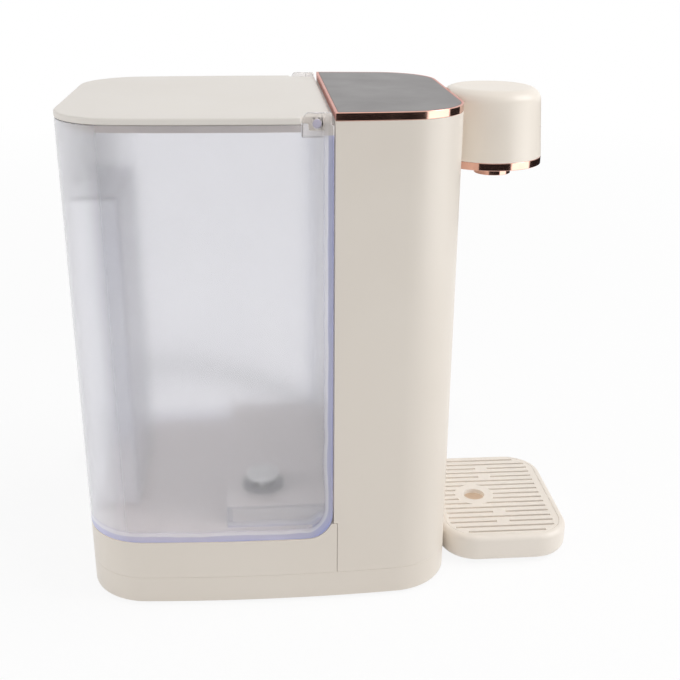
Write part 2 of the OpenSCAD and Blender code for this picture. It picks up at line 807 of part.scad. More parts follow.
module heater_clamps() {
    color(steel) difference() {
        for (z = clamp_zs) box([heater_x - 8, heater_y + 2, z], [heater_x + 8, back_y - back_t, z + clamp_h]);
        at_heater() rod_z(0, 0, heater_z, heater_top, heater_r + fit);
    }
}
module thermal_cutouts() {
    color(dark) difference() {
        for (z = cutout_zs) {
            rod_y(heater_x, heater_y - heater_r - 6, heater_y - heater_r + 2, z, cutout_r);
            box([heater_x - 2, heater_y - heater_r - 11, z - 3],
                [heater_x + 2, heater_y - heater_r - 6, z + 3]);
        }
        at_heater() rod_z(0, 0, heater_z, heater_top, heater_r + fit);
    }
}

// Hoses
dock_x = valve_x + outlet_side;
skew = [1, 1, 1];
hose_low = foot_h + pan_t + hose_r + 3;
inlet_x = pump_x - cover_t;
// Each hose runs straight over the spigots at its ends
module inlet_hose() {
    run_y = pump_y + 24;
    turn_x = inlet_x - spigot_l - 5;
    color(white) hose([[dock_x, valve_y, socket_low - over],
        [dock_x, valve_y, socket_low - dock_spigot_l - fit], [dock_x, valve_y, hose_low + 10],
        [dock_x, valve_y - 4, hose_low + 3], [dock_x, valve_y - 12, hose_low],
        [dock_x, run_y, hose_low], [dock_x + 2, run_y - 12, hose_low + 4],
        [dock_x + 6, run_y - 19, (hose_low + pump_z) / 2], [dock_x + 12, pump_y + 1, pump_z - 3],
        [turn_x, pump_y, pump_z], [inlet_x - spigot_l - fit, pump_y, pump_z],
        [inlet_x - over, pump_y, pump_z]], skew);
}
module feed_hose() {
    low = pump_z + pump_r + over;
    low_end = pump_z + pump_r + spigot_l;
    high = heater_z - cap_h - over;
    high_end = heater_z - cap_h - spigot_l;
    middle = (low_end + high_end) / 2;
    width = pump_out_x - heater_x;
    color(white) hose([[pump_out_x, pump_y, low], [pump_out_x, pump_y, low_end],
        [pump_out_x, pump_y, low_end + 2],
        [pump_out_x - 0.15 * width, pump_y, middle - 4], [heater_x + 0.5 * width, pump_y, middle],
        [heater_x + 0.15 * width, pump_y, middle + 4], [heater_x, pump_y, high_end - 2],
        [heater_x, pump_y, high_end], [heater_x, pump_y, high]], [0, 1, 0]);
}
module outlet_hose() {
    low = heater_top + cap_h + over;
    low_end = heater_top + cap_h + spigot_l;
    end_y = nozzle_y + separator_r + over;
    color(white) hose([[heater_x, heater_y, low], [heater_x, heater_y, low_end],
        [heater_x, heater_y, outlet_z - 14],
        [heater_x + 4, heater_y - 2, outlet_z - 5], [heater_x + 12, heater_y - 7, outlet_z],
        [-12, front_y + 18, outlet_z], [-3, front_y + 10, outlet_z], [0, front_y + 3, outlet_z],
        [0, nozzle_y + separator_r + spigot_l + fit, outlet_z], [0, end_y, outlet_z]], skew);
}

// Power board on the column's back plate
board_low = [12, heater_z - 6];
board_high = [66, heater_top - 10];
board_h = board_high.y - board_low.y;
standoff_l = 7;
board_back_y = back_y - back_t - standoff_l;
board_front_y = board_back_y - board_t;
hole_in = 6;
module power_board() {
    color(green) difference() {
        box([board_low.x, board_front_y, board_low.y], [board_high.x, board_back_y, board_high.y]);
        board_holes(board_front_y - over, board_back_y + over, screw_r);
    }
}
module board_holes(y0, y1, r) {
    for (x = [board_low.x + hole_in, board_high.x - hole_in],
        z = [board_low.y + hole_in, board_high.y - hole_in])
        rod_y(x, y0, y1, z, r);
}
module board_standoffs() {
    color(white) {
        board_holes(board_back_y, back_y - back_t, 3);
        board_holes(board_front_y - 1, board_back_y + over, screw_r - fit);
    }
}
// A block on the board: place across it, share of its height, and size
module on_board(x, share, size) {
    low = [board_low.x + x, board_front_y - size.z, board_low.y + share * board_h];
    box(low, low + [size.x, size.z, size.y]);
}
choke_size = [26, 22, 18];
relay_size = [19, 15, 15];
small_relay_size = [15, 15, 15];
plug_row_size = [30, 12, 10];
capacitor_r = 5;
capacitor_l = 16;
module board_parts() {
    color(dark) {
        on_board(14, 0.10, choke_size);
        on_board(8, 0.40, relay_size);
        on_board(31, 0.40, small_relay_size);
        on_board(12, 0.78, plug_row_size);
    }
    color(steel) for (x = [16, 30, 42])
        rod_y(board_low.x + x, board_front_y - capacitor_l, board_front_y, board_low.y + 0.66 * board_h,
            capacitor_r);
}
module case_screws() {
    color(steel) for (p = screw_points) {
        rod_z(p.x, p.y, bore_z - screw_head_h, bore_z, screw_head_r);
        rod_z(p.x, p.y, bore_z - over / 2, seam_z + boss_h - 4, screw_r);
    }
}

// Drip tray and grate
tray_rear_y = front_y - play;
tray_top = foot_h + tray_h;
grate_z = tray_top - grate_t;
ledge_in = 2;
slot_front = 8.4;
slot_rear = 6.4;
slot_edge = 6;
finger_y = front_y - 28.8;
finger_ring = 5.8;
web_w = 8;
webbed = [-6, -4, 4, 6];
tray_mid_y = (tray_front_y + tray_rear_y) / 2;
tray_arc = 12;
function tray_plan(d) =
    let (x = tray_w / 2 - tray_r, y0 = tray_front_y + tray_r, y1 = tray_rear_y - tray_r, r = tray_r - d)
    concat(arc([x, y0], r, -90, 0, tray_arc), arc([x, y1], r, 0, 90, tray_arc),
        arc([-x, y1], r, 90, 180, tray_arc), arc([-x, y0], r, 180, 270, tray_arc));
module tray_slab(d, z0, z1) {
    translate([0, 0, z0]) linear_extrude(z1 - z0) polygon(tray_plan(d));
}
// How far a slot at x stops short of the tray's end, so that it follows the round corner
function slot_stop(x, least) =
    let (r = tray_r - slot_edge, in = max(0, abs(x) - (tray_w / 2 - tray_r)))
    max(least, slot_edge + r - sqrt(max(0, r * r - in * in)));
module drip_tray() {
    color(cream) {
        difference() {
            tray_slab(0, foot_h, tray_top);
            tray_slab(rim_w, grate_z - seat_gap, tray_top + over);
            tray_slab(rim_w + ledge_in, foot_h + tray_t, tray_top);
        }
        for (s = [-1, 1]) box([s * tongue_x - tongue_w / 2, tray_rear_y - tray_t, tongue_z],
            [s * tongue_x + tongue_w / 2, tray_rear_y + tongue_l, tongue_z + tongue_t]);
    }
}
module tray_feet() {
    color(dark) for (s = [-1, 1])
        rod_z(s * (tray_w / 2 - tray_r), tray_front_y + tray_r, 0, foot_h, foot_r - 2);
}
module grate_slot(i) {
    x = i * slot_pitch;
    y0 = tray_front_y + slot_stop(x, slot_front);
    y1 = tray_rear_y - slot_stop(x, slot_rear);
    difference() {
        box([x - slot_w / 2, y0, grate_z - over], [x + slot_w / 2, y1, tray_top + over]);
        for (w = webbed) if (w == i) box([x - slot_w, tray_mid_y - web_w / 2, grate_z - 2 * over],
            [x + slot_w, tray_mid_y + web_w / 2, tray_top + 2 * over]);
        rod_z(0, finger_y, grate_z - 2 * over, tray_top + 2 * over, finger_r + finger_ring);
    }
}
module drip_grate() {
    half = (slot_count - 1) / 2;
    color(cream) difference() {
        tray_slab(rim_w + seat_gap, grate_z, tray_top);
        for (i = [-half:half]) grate_slot(i);
        rod_z(0, finger_y, grate_z - over, tray_top + over, finger_r);
    }
}

// Mains lead: strain relief on the rear corner, free stretch, coil, tie and plug
cord_r = cord_d / 2;
relief_neck_r = 5;
relief_r = 6.5;
relief_end_r = cord_r + 0.8;
relief_z = foot_h + pan_t + relief_r + seat_gap;
relief_a = 45;
relief_dir = [cos(relief_a), sin(relief_a), 0];
relief_at = [corner_x, rear_y - corner_r, relief_z] + corner_r * relief_dir;
// Along the strain relief's axis, counted from the housing's outer face
module along_relief(t) {
    translate(relief_at + t * relief_dir) rotate([0, 90, relief_a]) children();
}
module strain_relief() {
    color(dark) {
        along_relief(-shell_t - 3) cylinder(r = relief_r, h = 2);
        along_relief(-shell_t - 2) cylinder(r = relief_neck_r, h = shell_t + 3);
        along_relief(seam_gap) cylinder(r = relief_r, h = 2);
        along_relief(2) cylinder(r1 = relief_neck_r, r2 = relief_end_r, h = relief_l - 2);
    }
}
cord_start = relief_at + relief_l * relief_dir;
route = concat([cord_start, cord_start + 6 * relief_dir], [
    [102, 165.5, 9.4], [114, 168, 6.6], [128, 168.5, 4.4], [146, 168.5, 3.4], [166, 168.5, 3.4],
    [186, 168.5, 3.4], [206, 168, 3.4], [224, 166.5, 3.4], [240, 163.5, 3.4], [254, 158, 3.4],
    [265, 149.5, 3.4], [272.5, 138.5, 3.4], [276, 126, 3.4], [275, 113, 3.4], [270, 100, 3.4],
    [262, 86.5, 3.4], [252.5, 72.5, 3.4], [242, 58, 3.4], [230.5, 43.5, 3.4], [218, 30, 3.4],
    [204, 17.5, 3.4], [189, 6.5, 3.6], [174, -2.5, 3.8], [158, -10.5, 4]]);
tie_t = 0.8;
tie_gap = 0.4;
tie_w = 8;
coil_at = [150, -58];
coil_a = 120;
coil_gap = 0.8;
loop_rings = 24;
coil_pitch = cord_d + coil_gap;
coil_r = coil_d / 2 + coil_pitch / 2;
coil_z = tie_t + tie_gap + cord_r;
layer_turns = 1;
climb_turns = 0.5;
all_turns = 2 * layer_turns + climb_turns;
turn_in = layer_turns + climb_turns / 2;
function ease(f) = f * f * (3 - 2 * f);
function coil_point(t) =
    let (a = coil_a + 360 * t, r = coil_r - coil_pitch * (turn_in - abs(t - turn_in)),
        f = min(1, max(0, (t - layer_turns) / climb_turns)))
    [coil_at.x + r * cos(a), coil_at.y + r * sin(a), coil_z + coil_pitch * ease(f)];
loops = [for (i = [0:all_turns * loop_rings]) coil_point(i / loop_rings)];
loop_end = loops[len(loops) - 1];
plug_a = coil_a + 360 * all_turns + 90;
plug_dir = [cos(plug_a), sin(plug_a), 0];
plug_t = 16;
plug_w = 34;
plug_l = 38;
lead_l = 34;
plug_z = plug_t / 2 + 0.4;
plug_at = [loop_end.x, loop_end.y, plug_z] + lead_l * plug_dir;
coil_path = concat(
    [for (t = [2, 1]) coil_point(0) - t * cord_d * [cos(coil_a + 90), sin(coil_a + 90), 0.02]],
    loops,
    [loop_end + 8 * plug_dir - [0, 0, 0.4], loop_end + 16 * plug_dir - [0, 0, 1.6],
        plug_at - cord_d * plug_dir, plug_at]);
cord_path = smooth(concat(route, [coil_path[0]]));
echo(coil_least_gap = self_gap(loops, loop_rings - 4, cord_d));
echo(spring_least_gap = self_gap(spring_path, curl_rings - 1, spring_wire));
function path_length(p) = len(p) < 2 ? 0 : norm(p[1] - p[0]) + path_length([for (i = [1:len(p) - 1]) p[i]]);
echo(cord_length = relief_l + path_length(cord_path) + path_length(coil_path));
module power_cord() {
    color(dark) tube(cord_path, cord_r, 10);
}
module cord_coil() {
    color(dark) tube(coil_path, cord_r, 6);
}
module cord_tie() {
    low = coil_r - coil_pitch * turn_in - cord_r - tie_gap;
    high = coil_r + cord_r + tie_gap;
    top = coil_z + coil_pitch + cord_r + tie_gap;
    color(dark) translate([coil_at.x, coil_at.y, 0]) rotate(coil_a + 90) difference() {
        box([low - tie_t, -tie_w / 2, 0], [high + tie_t, tie_w / 2, top + tie_t]);
        box([low, -tie_w, tie_t], [high, tie_w, top]);
    }
}
module at_plug() {
    translate([plug_at.x, plug_at.y, 0]) rotate(plug_a) children();
}
neck_l = 14;
module plug_body() {
    color(dark) at_plug() {
        translate([0, 0, plug_z - plug_t / 2]) linear_extrude(plug_t) polygon(concat(
            [[0, -cord_r - 2], [neck_l, -cord_r - 3]],
            arc([plug_l - 6, -plug_w / 2 + 6], 6, -90, 0, 6),
            arc([plug_l - 6, plug_w / 2 - 6], 6, 0, 90, 6),
            [[neck_l, cord_r + 3], [0, cord_r + 2]]));
    }
}
pin_pitch = 19;
plug_pin_r = 2.4;
plug_pin_l = 19;
module plug_pins() {
    color(steel) at_plug() for (s = [-1, 1])
        rod_x(plug_l, plug_l + plug_pin_l, s * pin_pitch / 2, plug_z, plug_pin_r);
}

bottom_pan();
rubber_feet();
base_cradle();
column_shell();
column_back();
panel_trim();
control_panel();
panel_carrier();
touch_board();
touch_pillars();
head_shell();
head_trim();
head_floor();
nozzle();
nozzle_insert();
steam_separator();
tank();
tank_lid();
lid_gasket();
lid_hinge_pins();
valve_body();
valve_plunger();
valve_spring();
valve_seal();
dock_socket();
dock_seal();
inlet_hose();
pump_body();
pump_cover();
pump_impeller();
pump_motor();
pump_saddle();
feed_hose();
heater_tube();
heater_caps();
heater_clamps();
thermal_cutouts();
temperature_sensor();
outlet_hose();
power_board();
board_parts();
board_standoffs();
case_screws();
drip_tray();
tray_feet();
drip_grate();
strain_relief();
power_cord();
cord_coil();
cord_tie();
plug_body();
plug_pins();
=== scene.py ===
# %% [markdown]
# # An instant hot water dispenser
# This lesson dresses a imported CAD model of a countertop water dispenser: a cream column with a touch
# panel and a round outlet head, a frosted tank that lifts off, and a slotted drip tray. The CAD model
# is the fixed frame. Each piece made here rides on one of its bodies, so it moves as the frame moves.

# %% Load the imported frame
import json
import math

import bmesh
import bpy
from mathutils import Matrix, Vector


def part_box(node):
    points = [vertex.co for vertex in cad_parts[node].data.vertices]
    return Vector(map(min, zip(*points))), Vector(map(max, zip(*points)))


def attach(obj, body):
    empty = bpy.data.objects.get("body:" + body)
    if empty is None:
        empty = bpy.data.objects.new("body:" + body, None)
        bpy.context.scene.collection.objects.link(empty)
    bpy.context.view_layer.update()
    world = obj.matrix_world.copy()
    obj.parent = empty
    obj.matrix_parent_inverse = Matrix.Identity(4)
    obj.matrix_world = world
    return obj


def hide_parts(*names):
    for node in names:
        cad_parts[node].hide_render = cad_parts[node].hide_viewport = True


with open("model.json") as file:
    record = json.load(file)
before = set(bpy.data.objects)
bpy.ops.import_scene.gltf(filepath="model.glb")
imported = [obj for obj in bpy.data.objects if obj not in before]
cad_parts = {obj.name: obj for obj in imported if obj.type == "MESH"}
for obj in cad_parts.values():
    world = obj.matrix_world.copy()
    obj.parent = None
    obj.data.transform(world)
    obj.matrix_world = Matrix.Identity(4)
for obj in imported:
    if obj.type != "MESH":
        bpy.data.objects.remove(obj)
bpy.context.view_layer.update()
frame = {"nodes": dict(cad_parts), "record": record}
nodes = frame["nodes"]
body_of_node = {n: b for b, members in frame["record"]["behaviour"]["bodies"].items() for n in members}
slot_of_node = {s["node"]: s["material_slot"] for s in frame["record"]["subparts"]}
mm = 0.001

# %% [markdown]
# ## The camera
# The photograph was taken from the dispenser's left side, a little above it. Place, lens and axes were
# worked out from the outline of the body in the picture, so the render can be laid over the photograph.

# %% Camera at the photograph's view
camera_place = Vector((-587.2, 44.1, 363.0)) * mm
camera_back = Vector((-0.9273, 0.0774, 0.3662))
camera_up = Vector((0.3655, -0.0240, 0.9305))
focal_px = 1031.2
picture_px = 680

camera_data = bpy.data.cameras.new("camera")
camera_data.sensor_width = 36
camera_data.lens = focal_px / picture_px * camera_data.sensor_width
camera_data.clip_start = 0.01
camera = bpy.data.objects.new("camera", camera_data)
bpy.context.scene.collection.objects.link(camera)
back = camera_back.normalized()
right = camera_up.cross(back).normalized()
axes = Matrix((right, back.cross(right), back)).transposed()
camera.matrix_world = Matrix.Translation(camera_place) @ axes.to_4x4()
bpy.context.scene.camera = camera
print(f"camera at {[round(x, 3) for x in camera_place]}, lens {camera_data.lens:.1f} mm")

# %% [markdown]
# ## Small helpers
# A finished piece sits at the origin with its place in its mesh, as a CAD node does. `add_piece` links a
# mesh, gives it a material, hides the CAD nodes it stands for and lets it ride on their body.

# %% Helpers that place a piece


def add_piece(name, data, material, *stands_for):
    """Links a mesh or curve as a piece that replaces these CAD nodes and rides on their body."""
    piece = bpy.data.objects.new(name, data)
    bpy.context.scene.collection.objects.link(piece)
    data.materials.clear()
    data.materials.append(material)
    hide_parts(*stands_for)
    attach(piece, body_of_node[stands_for[0]])
    return piece


def merged_copy(node):
    """A CAD node's mesh as a new one, with its loose triangles joined into flat quads."""
    bm = bmesh.new()
    bm.from_mesh(nodes[node].data)
    bmesh.ops.remove_doubles(bm, verts=bm.verts, dist=2e-6)
    bmesh.ops.join_triangles(bm, faces=bm.faces, angle_face_threshold=0.01, angle_shape_threshold=3)
    mesh = bpy.data.meshes.new(node + "_rounded")
    bm.to_mesh(mesh)
    bm.free()
    mesh.shade_smooth()
    return mesh


def even_shading(piece):
    """Lets the large faces set the shading, so that flat faces stay flat up to their rounded edges."""
    shading = piece.modifiers.new("flat faces stay flat", "WEIGHTED_NORMAL")
    shading.mode = "FACE_AREA"
    shading.weight = 80
    shading.keep_sharp = True
    return piece


def round_edges(piece, width, segments=3, angle=32):
    """Rounds the sharp edges of a piece, as a mould does, and keeps its flat faces flat."""
    bevel = piece.modifiers.new("rounded edges", "BEVEL")
    bevel.width = width
    bevel.segments = segments
    bevel.limit_method = "ANGLE"
    bevel.angle_limit = math.radians(angle)
    bevel.use_clamp_overlap = False
    bevel.loop_slide = False
    bevel.miter_outer = "MITER_ARC"
    return even_shading(piece)


def rounded_node(node, material, width, segments=3, angle=32):
    """A CAD node's shape with rounded edges, standing for that node."""
    piece = add_piece(node + "_rounded", merged_copy(node), material, node)
    return round_edges(piece, width, segments, angle)


def loft(name, rings, closed_ends=True):
    """A skin over rings of points, all with as many points, turned anticlockwise seen from above."""
    count = len(rings[0])
    points = [p for ring in rings for p in ring]
    faces = [
        (k * count + i, k * count + (i + 1) % count, (k + 1) * count + (i + 1) % count, (k + 1) * count + i)
        for k in range(len(rings) - 1)
        for i in range(count)
    ]
    if closed_ends:
        faces += [tuple(reversed(range(count))), tuple(range(len(points) - count, len(points)))]
    mesh = bpy.data.meshes.new(name)
    mesh.from_pydata(points, [], faces)
    bm = bmesh.new()
    bm.from_mesh(mesh)
    bmesh.ops.recalc_face_normals(bm, faces=bm.faces)
    bm.to_mesh(mesh)
    bm.free()
    mesh.shade_smooth()
    return mesh


print("helpers ready")

# %% [markdown]
# ## Finishes
# Moulded plastic is never one flat colour: it has a fine spark-eroded grain, and its gloss and shade
# drift a little over a hand's width. Each finish below starts from one Principled shader and adds noise
# in Object coordinates, which stay with the piece when it moves.

# %% A blank finish and its grain


def blank_finish(name):
    """A new material with its tree and its Principled shader."""
    material = bpy.data.materials.new(name)
    material.use_nodes = True
    tree = material.node_tree
    return material, tree, tree.nodes["Principled BSDF"]


def object_noise(tree, scale, detail=3.0, stretch=(1, 1, 1)):
    """Noise in Object coordinates, in features per metre, and stretched along an axis if asked."""
    place = tree.nodes.new("ShaderNodeTexCoord")
    mapping = tree.nodes.new("ShaderNodeMapping")
    mapping.inputs["Scale"].default_value = stretch
    noise = tree.nodes.new("ShaderNodeTexNoise")
    noise.inputs["Scale"].default_value = scale
    noise.inputs["Detail"].default_value = detail
    tree.links.new(place.outputs["Object"], mapping.inputs["Vector"])
    tree.links.new(mapping.outputs["Vector"], noise.inputs["Vector"])
    return noise.outputs["Fac"]


noise_low, noise_high = 0.3, 0.7


def spread(tree, value, low, high):
    """A noise value laid out between two numbers."""
    ranged = tree.nodes.new("ShaderNodeMapRange")
    ranged.inputs["From Min"].default_value = noise_low
    ranged.inputs["From Max"].default_value = noise_high
    ranged.inputs["To Min"].default_value = low
    ranged.inputs["To Max"].default_value = high
    tree.links.new(value, ranged.inputs["Value"])
    return ranged.outputs["Result"]


def two_tone(tree, value, dark, light):
    """A noise value as a shade between two colours."""
    ramp = tree.nodes.new("ShaderNodeValToRGB")
    for element, at, colour in zip(ramp.color_ramp.elements, (noise_low, noise_high), (dark, light)):
        element.position = at
        element.color = (*colour, 1)
    tree.links.new(value, ramp.inputs["Fac"])
    return ramp.outputs["Color"]


def grain(tree, shader, scale, depth, strength=0.3, stretch=(1, 1, 1)):
    """A fine relief on the surface."""
    bump = tree.nodes.new("ShaderNodeBump")
    bump.inputs["Strength"].default_value = strength
    bump.inputs["Distance"].default_value = depth
    tree.links.new(object_noise(tree, scale, 2.0, stretch), bump.inputs["Height"])
    tree.links.new(bump.outputs["Normal"], shader.inputs["Normal"])


def moulded(name, dark, light, gloss, grain_scale, grain_depth, drift=9.0):
    """A moulded plastic or rubber: two near shades, a range of roughness and a fine grain."""
    material, tree, shader = blank_finish(name)
    tree.links.new(two_tone(tree, object_noise(tree, drift), dark, light), shader.inputs["Base Color"])
    tree.links.new(spread(tree, object_noise(tree, 4 * drift), *gloss), shader.inputs["Roughness"])
    grain(tree, shader, grain_scale, grain_depth)
    return material


def tune(material, label, value):
    """Sets one input of a finish's Principled shader."""
    material.node_tree.nodes["Principled BSDF"].inputs[label].default_value = value


print("finish helpers ready")

# %% [markdown]
# The body is a warm cream plastic with a satin gloss. Its light and dark shades lie close together, so
# that the drift only shows as life in the large smooth faces. Head, lid and tray have a shade each, set
# lighter or paler to how bright each part looks, which is partly painted light. The basin is a darker,
# warmer copy of the tray plastic, a painted shade, and the slot walls a paler copy, a painted light.

# %% Cream plastic of the body
cream = moulded("cream_plastic", (0.79, 0.722, 0.642), (0.82, 0.757, 0.68), (0.3, 0.4), 1500, 0.00004)
# head, lid and tray: shades partly painted light, set to how bright each part looks
head_cream = moulded("head_plastic", (0.865, 0.79, 0.7), (0.885, 0.82, 0.735), (0.31, 0.38), 1500, 0.00003)
lid_cream = moulded("lid_plastic", (0.795, 0.752, 0.70), (0.825, 0.785, 0.735), (0.36, 0.46), 1300, 0.00005)
tray_cream = moulded("tray_plastic", (0.88, 0.81, 0.73), (0.9, 0.835, 0.76), (0.36, 0.46), 1300, 0.00004)
# painted shade: the basin is the tray's plastic, darker and warmer for the shade under the grate
basin_shaded_cream = moulded("basin_painted_shade", (0.75, 0.615, 0.49), (0.78, 0.65, 0.525), (0.4, 0.5), 1300, 0.00004)
# painted light: the slot walls are the grate's plastic, paler to lift their shaded sides
slot_lit_cream = moulded("slot_painted_light", (0.97, 0.91, 0.84), (0.98, 0.93, 0.87), (0.4, 0.5), 1300, 0.00004)
tune(cream, "Specular IOR Level", 0.45)
tune(lid_cream, "Specular IOR Level", 0.12)
print(", ".join(m.name for m in (cream, head_cream, lid_cream, tray_cream, basin_shaded_cream, slot_lit_cream)))

# %% [markdown]
# The trim round the panel, the band of the head and the nozzle are plated in rose gold. Plating is a
# mirror with a faint waviness from the plastic under it, so its colour comes mostly from what it reflects.
# The trim's top edge and rear face get a darker, duller copy of the plating: painted shade for the darker
# room they mirror.

# %% Rose gold plating


def plated(name, dark, light, gloss=(0.07, 0.14)):
    """Plating with a little waviness and a few duller places."""
    material, tree, shader = blank_finish(name)
    shader.inputs["Metallic"].default_value = 1
    tree.links.new(two_tone(tree, object_noise(tree, 60), dark, light), shader.inputs["Base Color"])
    tree.links.new(spread(tree, object_noise(tree, 90), *gloss), shader.inputs["Roughness"])
    grain(tree, shader, 220, 0.00002, 0.04)
    return material


rose_gold = plated("rose_gold", (0.7, 0.39, 0.31), (0.77, 0.47, 0.38))
# painted shade: a darker copper for the trim faces that point up or to the rear
edge_gold_painted_shade = plated("edge_gold_painted_shade", (0.6, 0.26, 0.21), (0.66, 0.31, 0.255), (0.32, 0.4))
print(rose_gold.name, edge_gold_painted_shade.name)

# %% [markdown]
# The tank is clear plastic with a frosted outer face: light goes through, but is scattered by a few
# degrees, so near things stay readable and far ones blur. Part of the light is thrown back as a milky veil,
# and the smooth inner face lets nearly all of it pass. A band round the front edge and the foot looks
# lavender, because light runs a long way inside the wall there before it comes out. That light is painted
# into the colour and clearness here: a lavender band with a pale inner line and painted glints along it.
# The band follows the distance from these two edges, round the corner between them. The rear corners are
# milkier than the rest.

# %% Frosted tank plastic


def math_maker(tree):
    """A short way to write one Math node."""

    def calc(operation, *values):
        node = tree.nodes.new("ShaderNodeMath")
        node.operation = operation
        for socket, value in zip(node.inputs, values):
            if isinstance(value, bpy.types.NodeSocket):
                tree.links.new(value, socket)
            else:
                socket.default_value = value
        return node.outputs[0]

    return calc


def frosted_plastic(name, dark, light, clear, gloss=(0.2, 0.24)):
    """Rough, milky glass: what isn't let through is thrown back as a veil of the same colour."""
    material, tree, shader = blank_finish(name)
    shader.inputs["IOR"].default_value = 1.45
    shader.inputs["Specular IOR Level"].default_value = 0.4
    shader.inputs["Transmission Weight"].default_value = clear
    body = two_tone(tree, object_noise(tree, 30), dark, light)
    tree.links.new(body, shader.inputs["Base Color"])
    tree.links.new(spread(tree, object_noise(tree, 160), *gloss), shader.inputs["Roughness"])
    return material, tree, shader, body


def mixed(tree, kind, factor, one, other):
    """Two colours mixed, each a socket or three numbers."""
    mix = tree.nodes.new("ShaderNodeMix")
    mix.data_type = "RGBA"
    mix.blend_type = kind
    for socket, value in zip((mix.inputs[0], mix.inputs[6], mix.inputs[7]), (factor, one, other)):
        if isinstance(value, bpy.types.NodeSocket):
            tree.links.new(value, socket)
        else:
            socket.default_value = value if isinstance(value, (int, float)) else (*value, 1)
    return mix.outputs[2]


def tank_walls(low, high, clear):
    """The outer face of the walls, with a painted lavender band of piped light along its edges and warm
    hinge ears.
    """
    edge_r = 15 * mm
    side_w = 4 * mm
    band_w = 6 * mm
    foot_share = 0.72
    ear_l, ear_h = 15.9 * mm, 10.8 * mm
    ear_cream = (0.88, 0.83, 0.79)
    rear_w = 26 * mm
    rear_share = 0.42
    glint_scale, glint_reach = 45, 0.07
    dark, light = (0.945, 0.944, 0.98), (0.965, 0.964, 0.998)
    material, tree, shader, body = frosted_plastic("frosted_tank", dark, light, clear)
    calc = math_maker(tree)
    place = tree.nodes.new("ShaderNodeTexCoord")
    parts = tree.nodes.new("ShaderNodeSeparateXYZ")
    tree.links.new(place.outputs["Object"], parts.inputs["Vector"])
    x, y, z = parts.outputs
    from_side = calc("SUBTRACT", high.x - side_w, calc("ABSOLUTE", x))
    from_front = calc("MAXIMUM", calc("SUBTRACT", y, low.y), from_side)
    short_y = calc("MAXIMUM", calc("SUBTRACT", edge_r, from_front), 0)
    from_foot = calc("MULTIPLY", calc("SUBTRACT", z, low.z), foot_share)
    short_z = calc("MAXIMUM", calc("SUBTRACT", edge_r, from_foot), 0)
    diagonal = calc("SQRT", calc("ADD", calc("POWER", short_y, 2), calc("POWER", short_z, 2)))
    inwards = calc("DIVIDE", calc("SUBTRACT", edge_r, diagonal), band_w)
    # painted light: the lavender band, its pale inner line and its lower clearness stand in for light
    # running inside the wall
    band = tree.nodes.new("ShaderNodeValToRGB")
    stops = [
        (0.0, (0.5, 0.54, 0.84, 0.4)), (0.14, (0.69, 0.71, 0.96, 0.5)), (0.46, (0.78, 0.8, 1, 0.55)),
        (0.54, (0.97, 0.97, 1, 0.5)), (0.76, (0.96, 0.96, 1, 0.6)), (0.84, (0.9, 0.9, 0.97, clear)),
        (1.0, (1, 1, 1, clear)),
    ]
    while len(band.color_ramp.elements) < len(stops):
        band.color_ramp.elements.new(0.5)
    for element, (at, colour) in zip(band.color_ramp.elements, stops):
        element.position = at
        element.color = colour
    # painted glints: noise moves the band's shades a little along the edges
    painted_glints = spread(tree, object_noise(tree, glint_scale), -glint_reach, glint_reach)
    tree.links.new(calc("ADD", inwards, painted_glints), band.inputs["Fac"])
    ear_y = calc("LESS_THAN", y, low.y + ear_l)
    ear_z = calc("GREATER_THAN", z, high.z - ear_h)
    banded = mixed(tree, "MULTIPLY", 1.0, body, band.outputs["Color"])
    colour = mixed(tree, "MIX", calc("MULTIPLY", ear_y, ear_z), banded, ear_cream)
    tree.links.new(colour, shader.inputs["Base Color"])
    veil = tree.nodes.new("ShaderNodeMapRange")
    veil.inputs["From Min"].default_value = high.y - rear_w
    veil.inputs["From Max"].default_value = high.y - side_w
    veil.inputs["To Min"].default_value = 1
    veil.inputs["To Max"].default_value = rear_share
    tree.links.new(y, veil.inputs["Value"])
    passed = calc("MULTIPLY", band.outputs["Alpha"], veil.outputs["Result"])
    tree.links.new(passed, shader.inputs["Transmission Weight"])
    return material


tank_low, tank_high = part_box("tank")
frosted = tank_walls(tank_low, tank_high, 0.77)
tank_inside = frosted_plastic(
    "clear_inside", (0.978, 0.976, 0.993), (0.99, 0.988, 1.0), 0.98, gloss=(0.14, 0.18)
)[0]
# painted light: the floor faces are a warmer, less clear copy, standing in for the lit cream deck seen
# through them
tank_floor = frosted_plastic("frosted_floor_painted_light", (0.9, 0.835, 0.82), (0.92, 0.86, 0.845), 0.33)[0]
tank_grip = frosted_plastic("frosted_grip", (0.955, 0.955, 1.0), (0.975, 0.975, 1.0), 0.8)[0]
tune(tank_grip, "IOR", 1.15)
print(frosted.name, tank_inside.name, tank_floor.name, tank_grip.name)

# %% [markdown]
# The touch panel is a smoked, satin plate. At the low angle of the photograph it takes on a veil of the
# bright room, which lifts it to a mid grey.

# %% Smoked touch panel


def smoked_panel():
    """Satin dark plastic with the faintest orange peel."""
    material, tree, shader = blank_finish("smoked_panel")
    tree.links.new(
        two_tone(tree, object_noise(tree, 14), (0.075, 0.064, 0.063), (0.097, 0.085, 0.084)),
        shader.inputs["Base Color"],
    )
    tree.links.new(spread(tree, object_noise(tree, 40), 0.3, 0.36), shader.inputs["Roughness"])
    grain(tree, shader, 160, 0.00002, 0.1)
    return material


smoked = smoked_panel()
print(smoked.name)

# %% [markdown]
# The rest are workaday finishes: rubber for feet, seals and the lead, dark and white plastic for the
# water circuit, silicone hoses, brushed steel, brass pins and lacquered boards.

# %% Workaday finishes


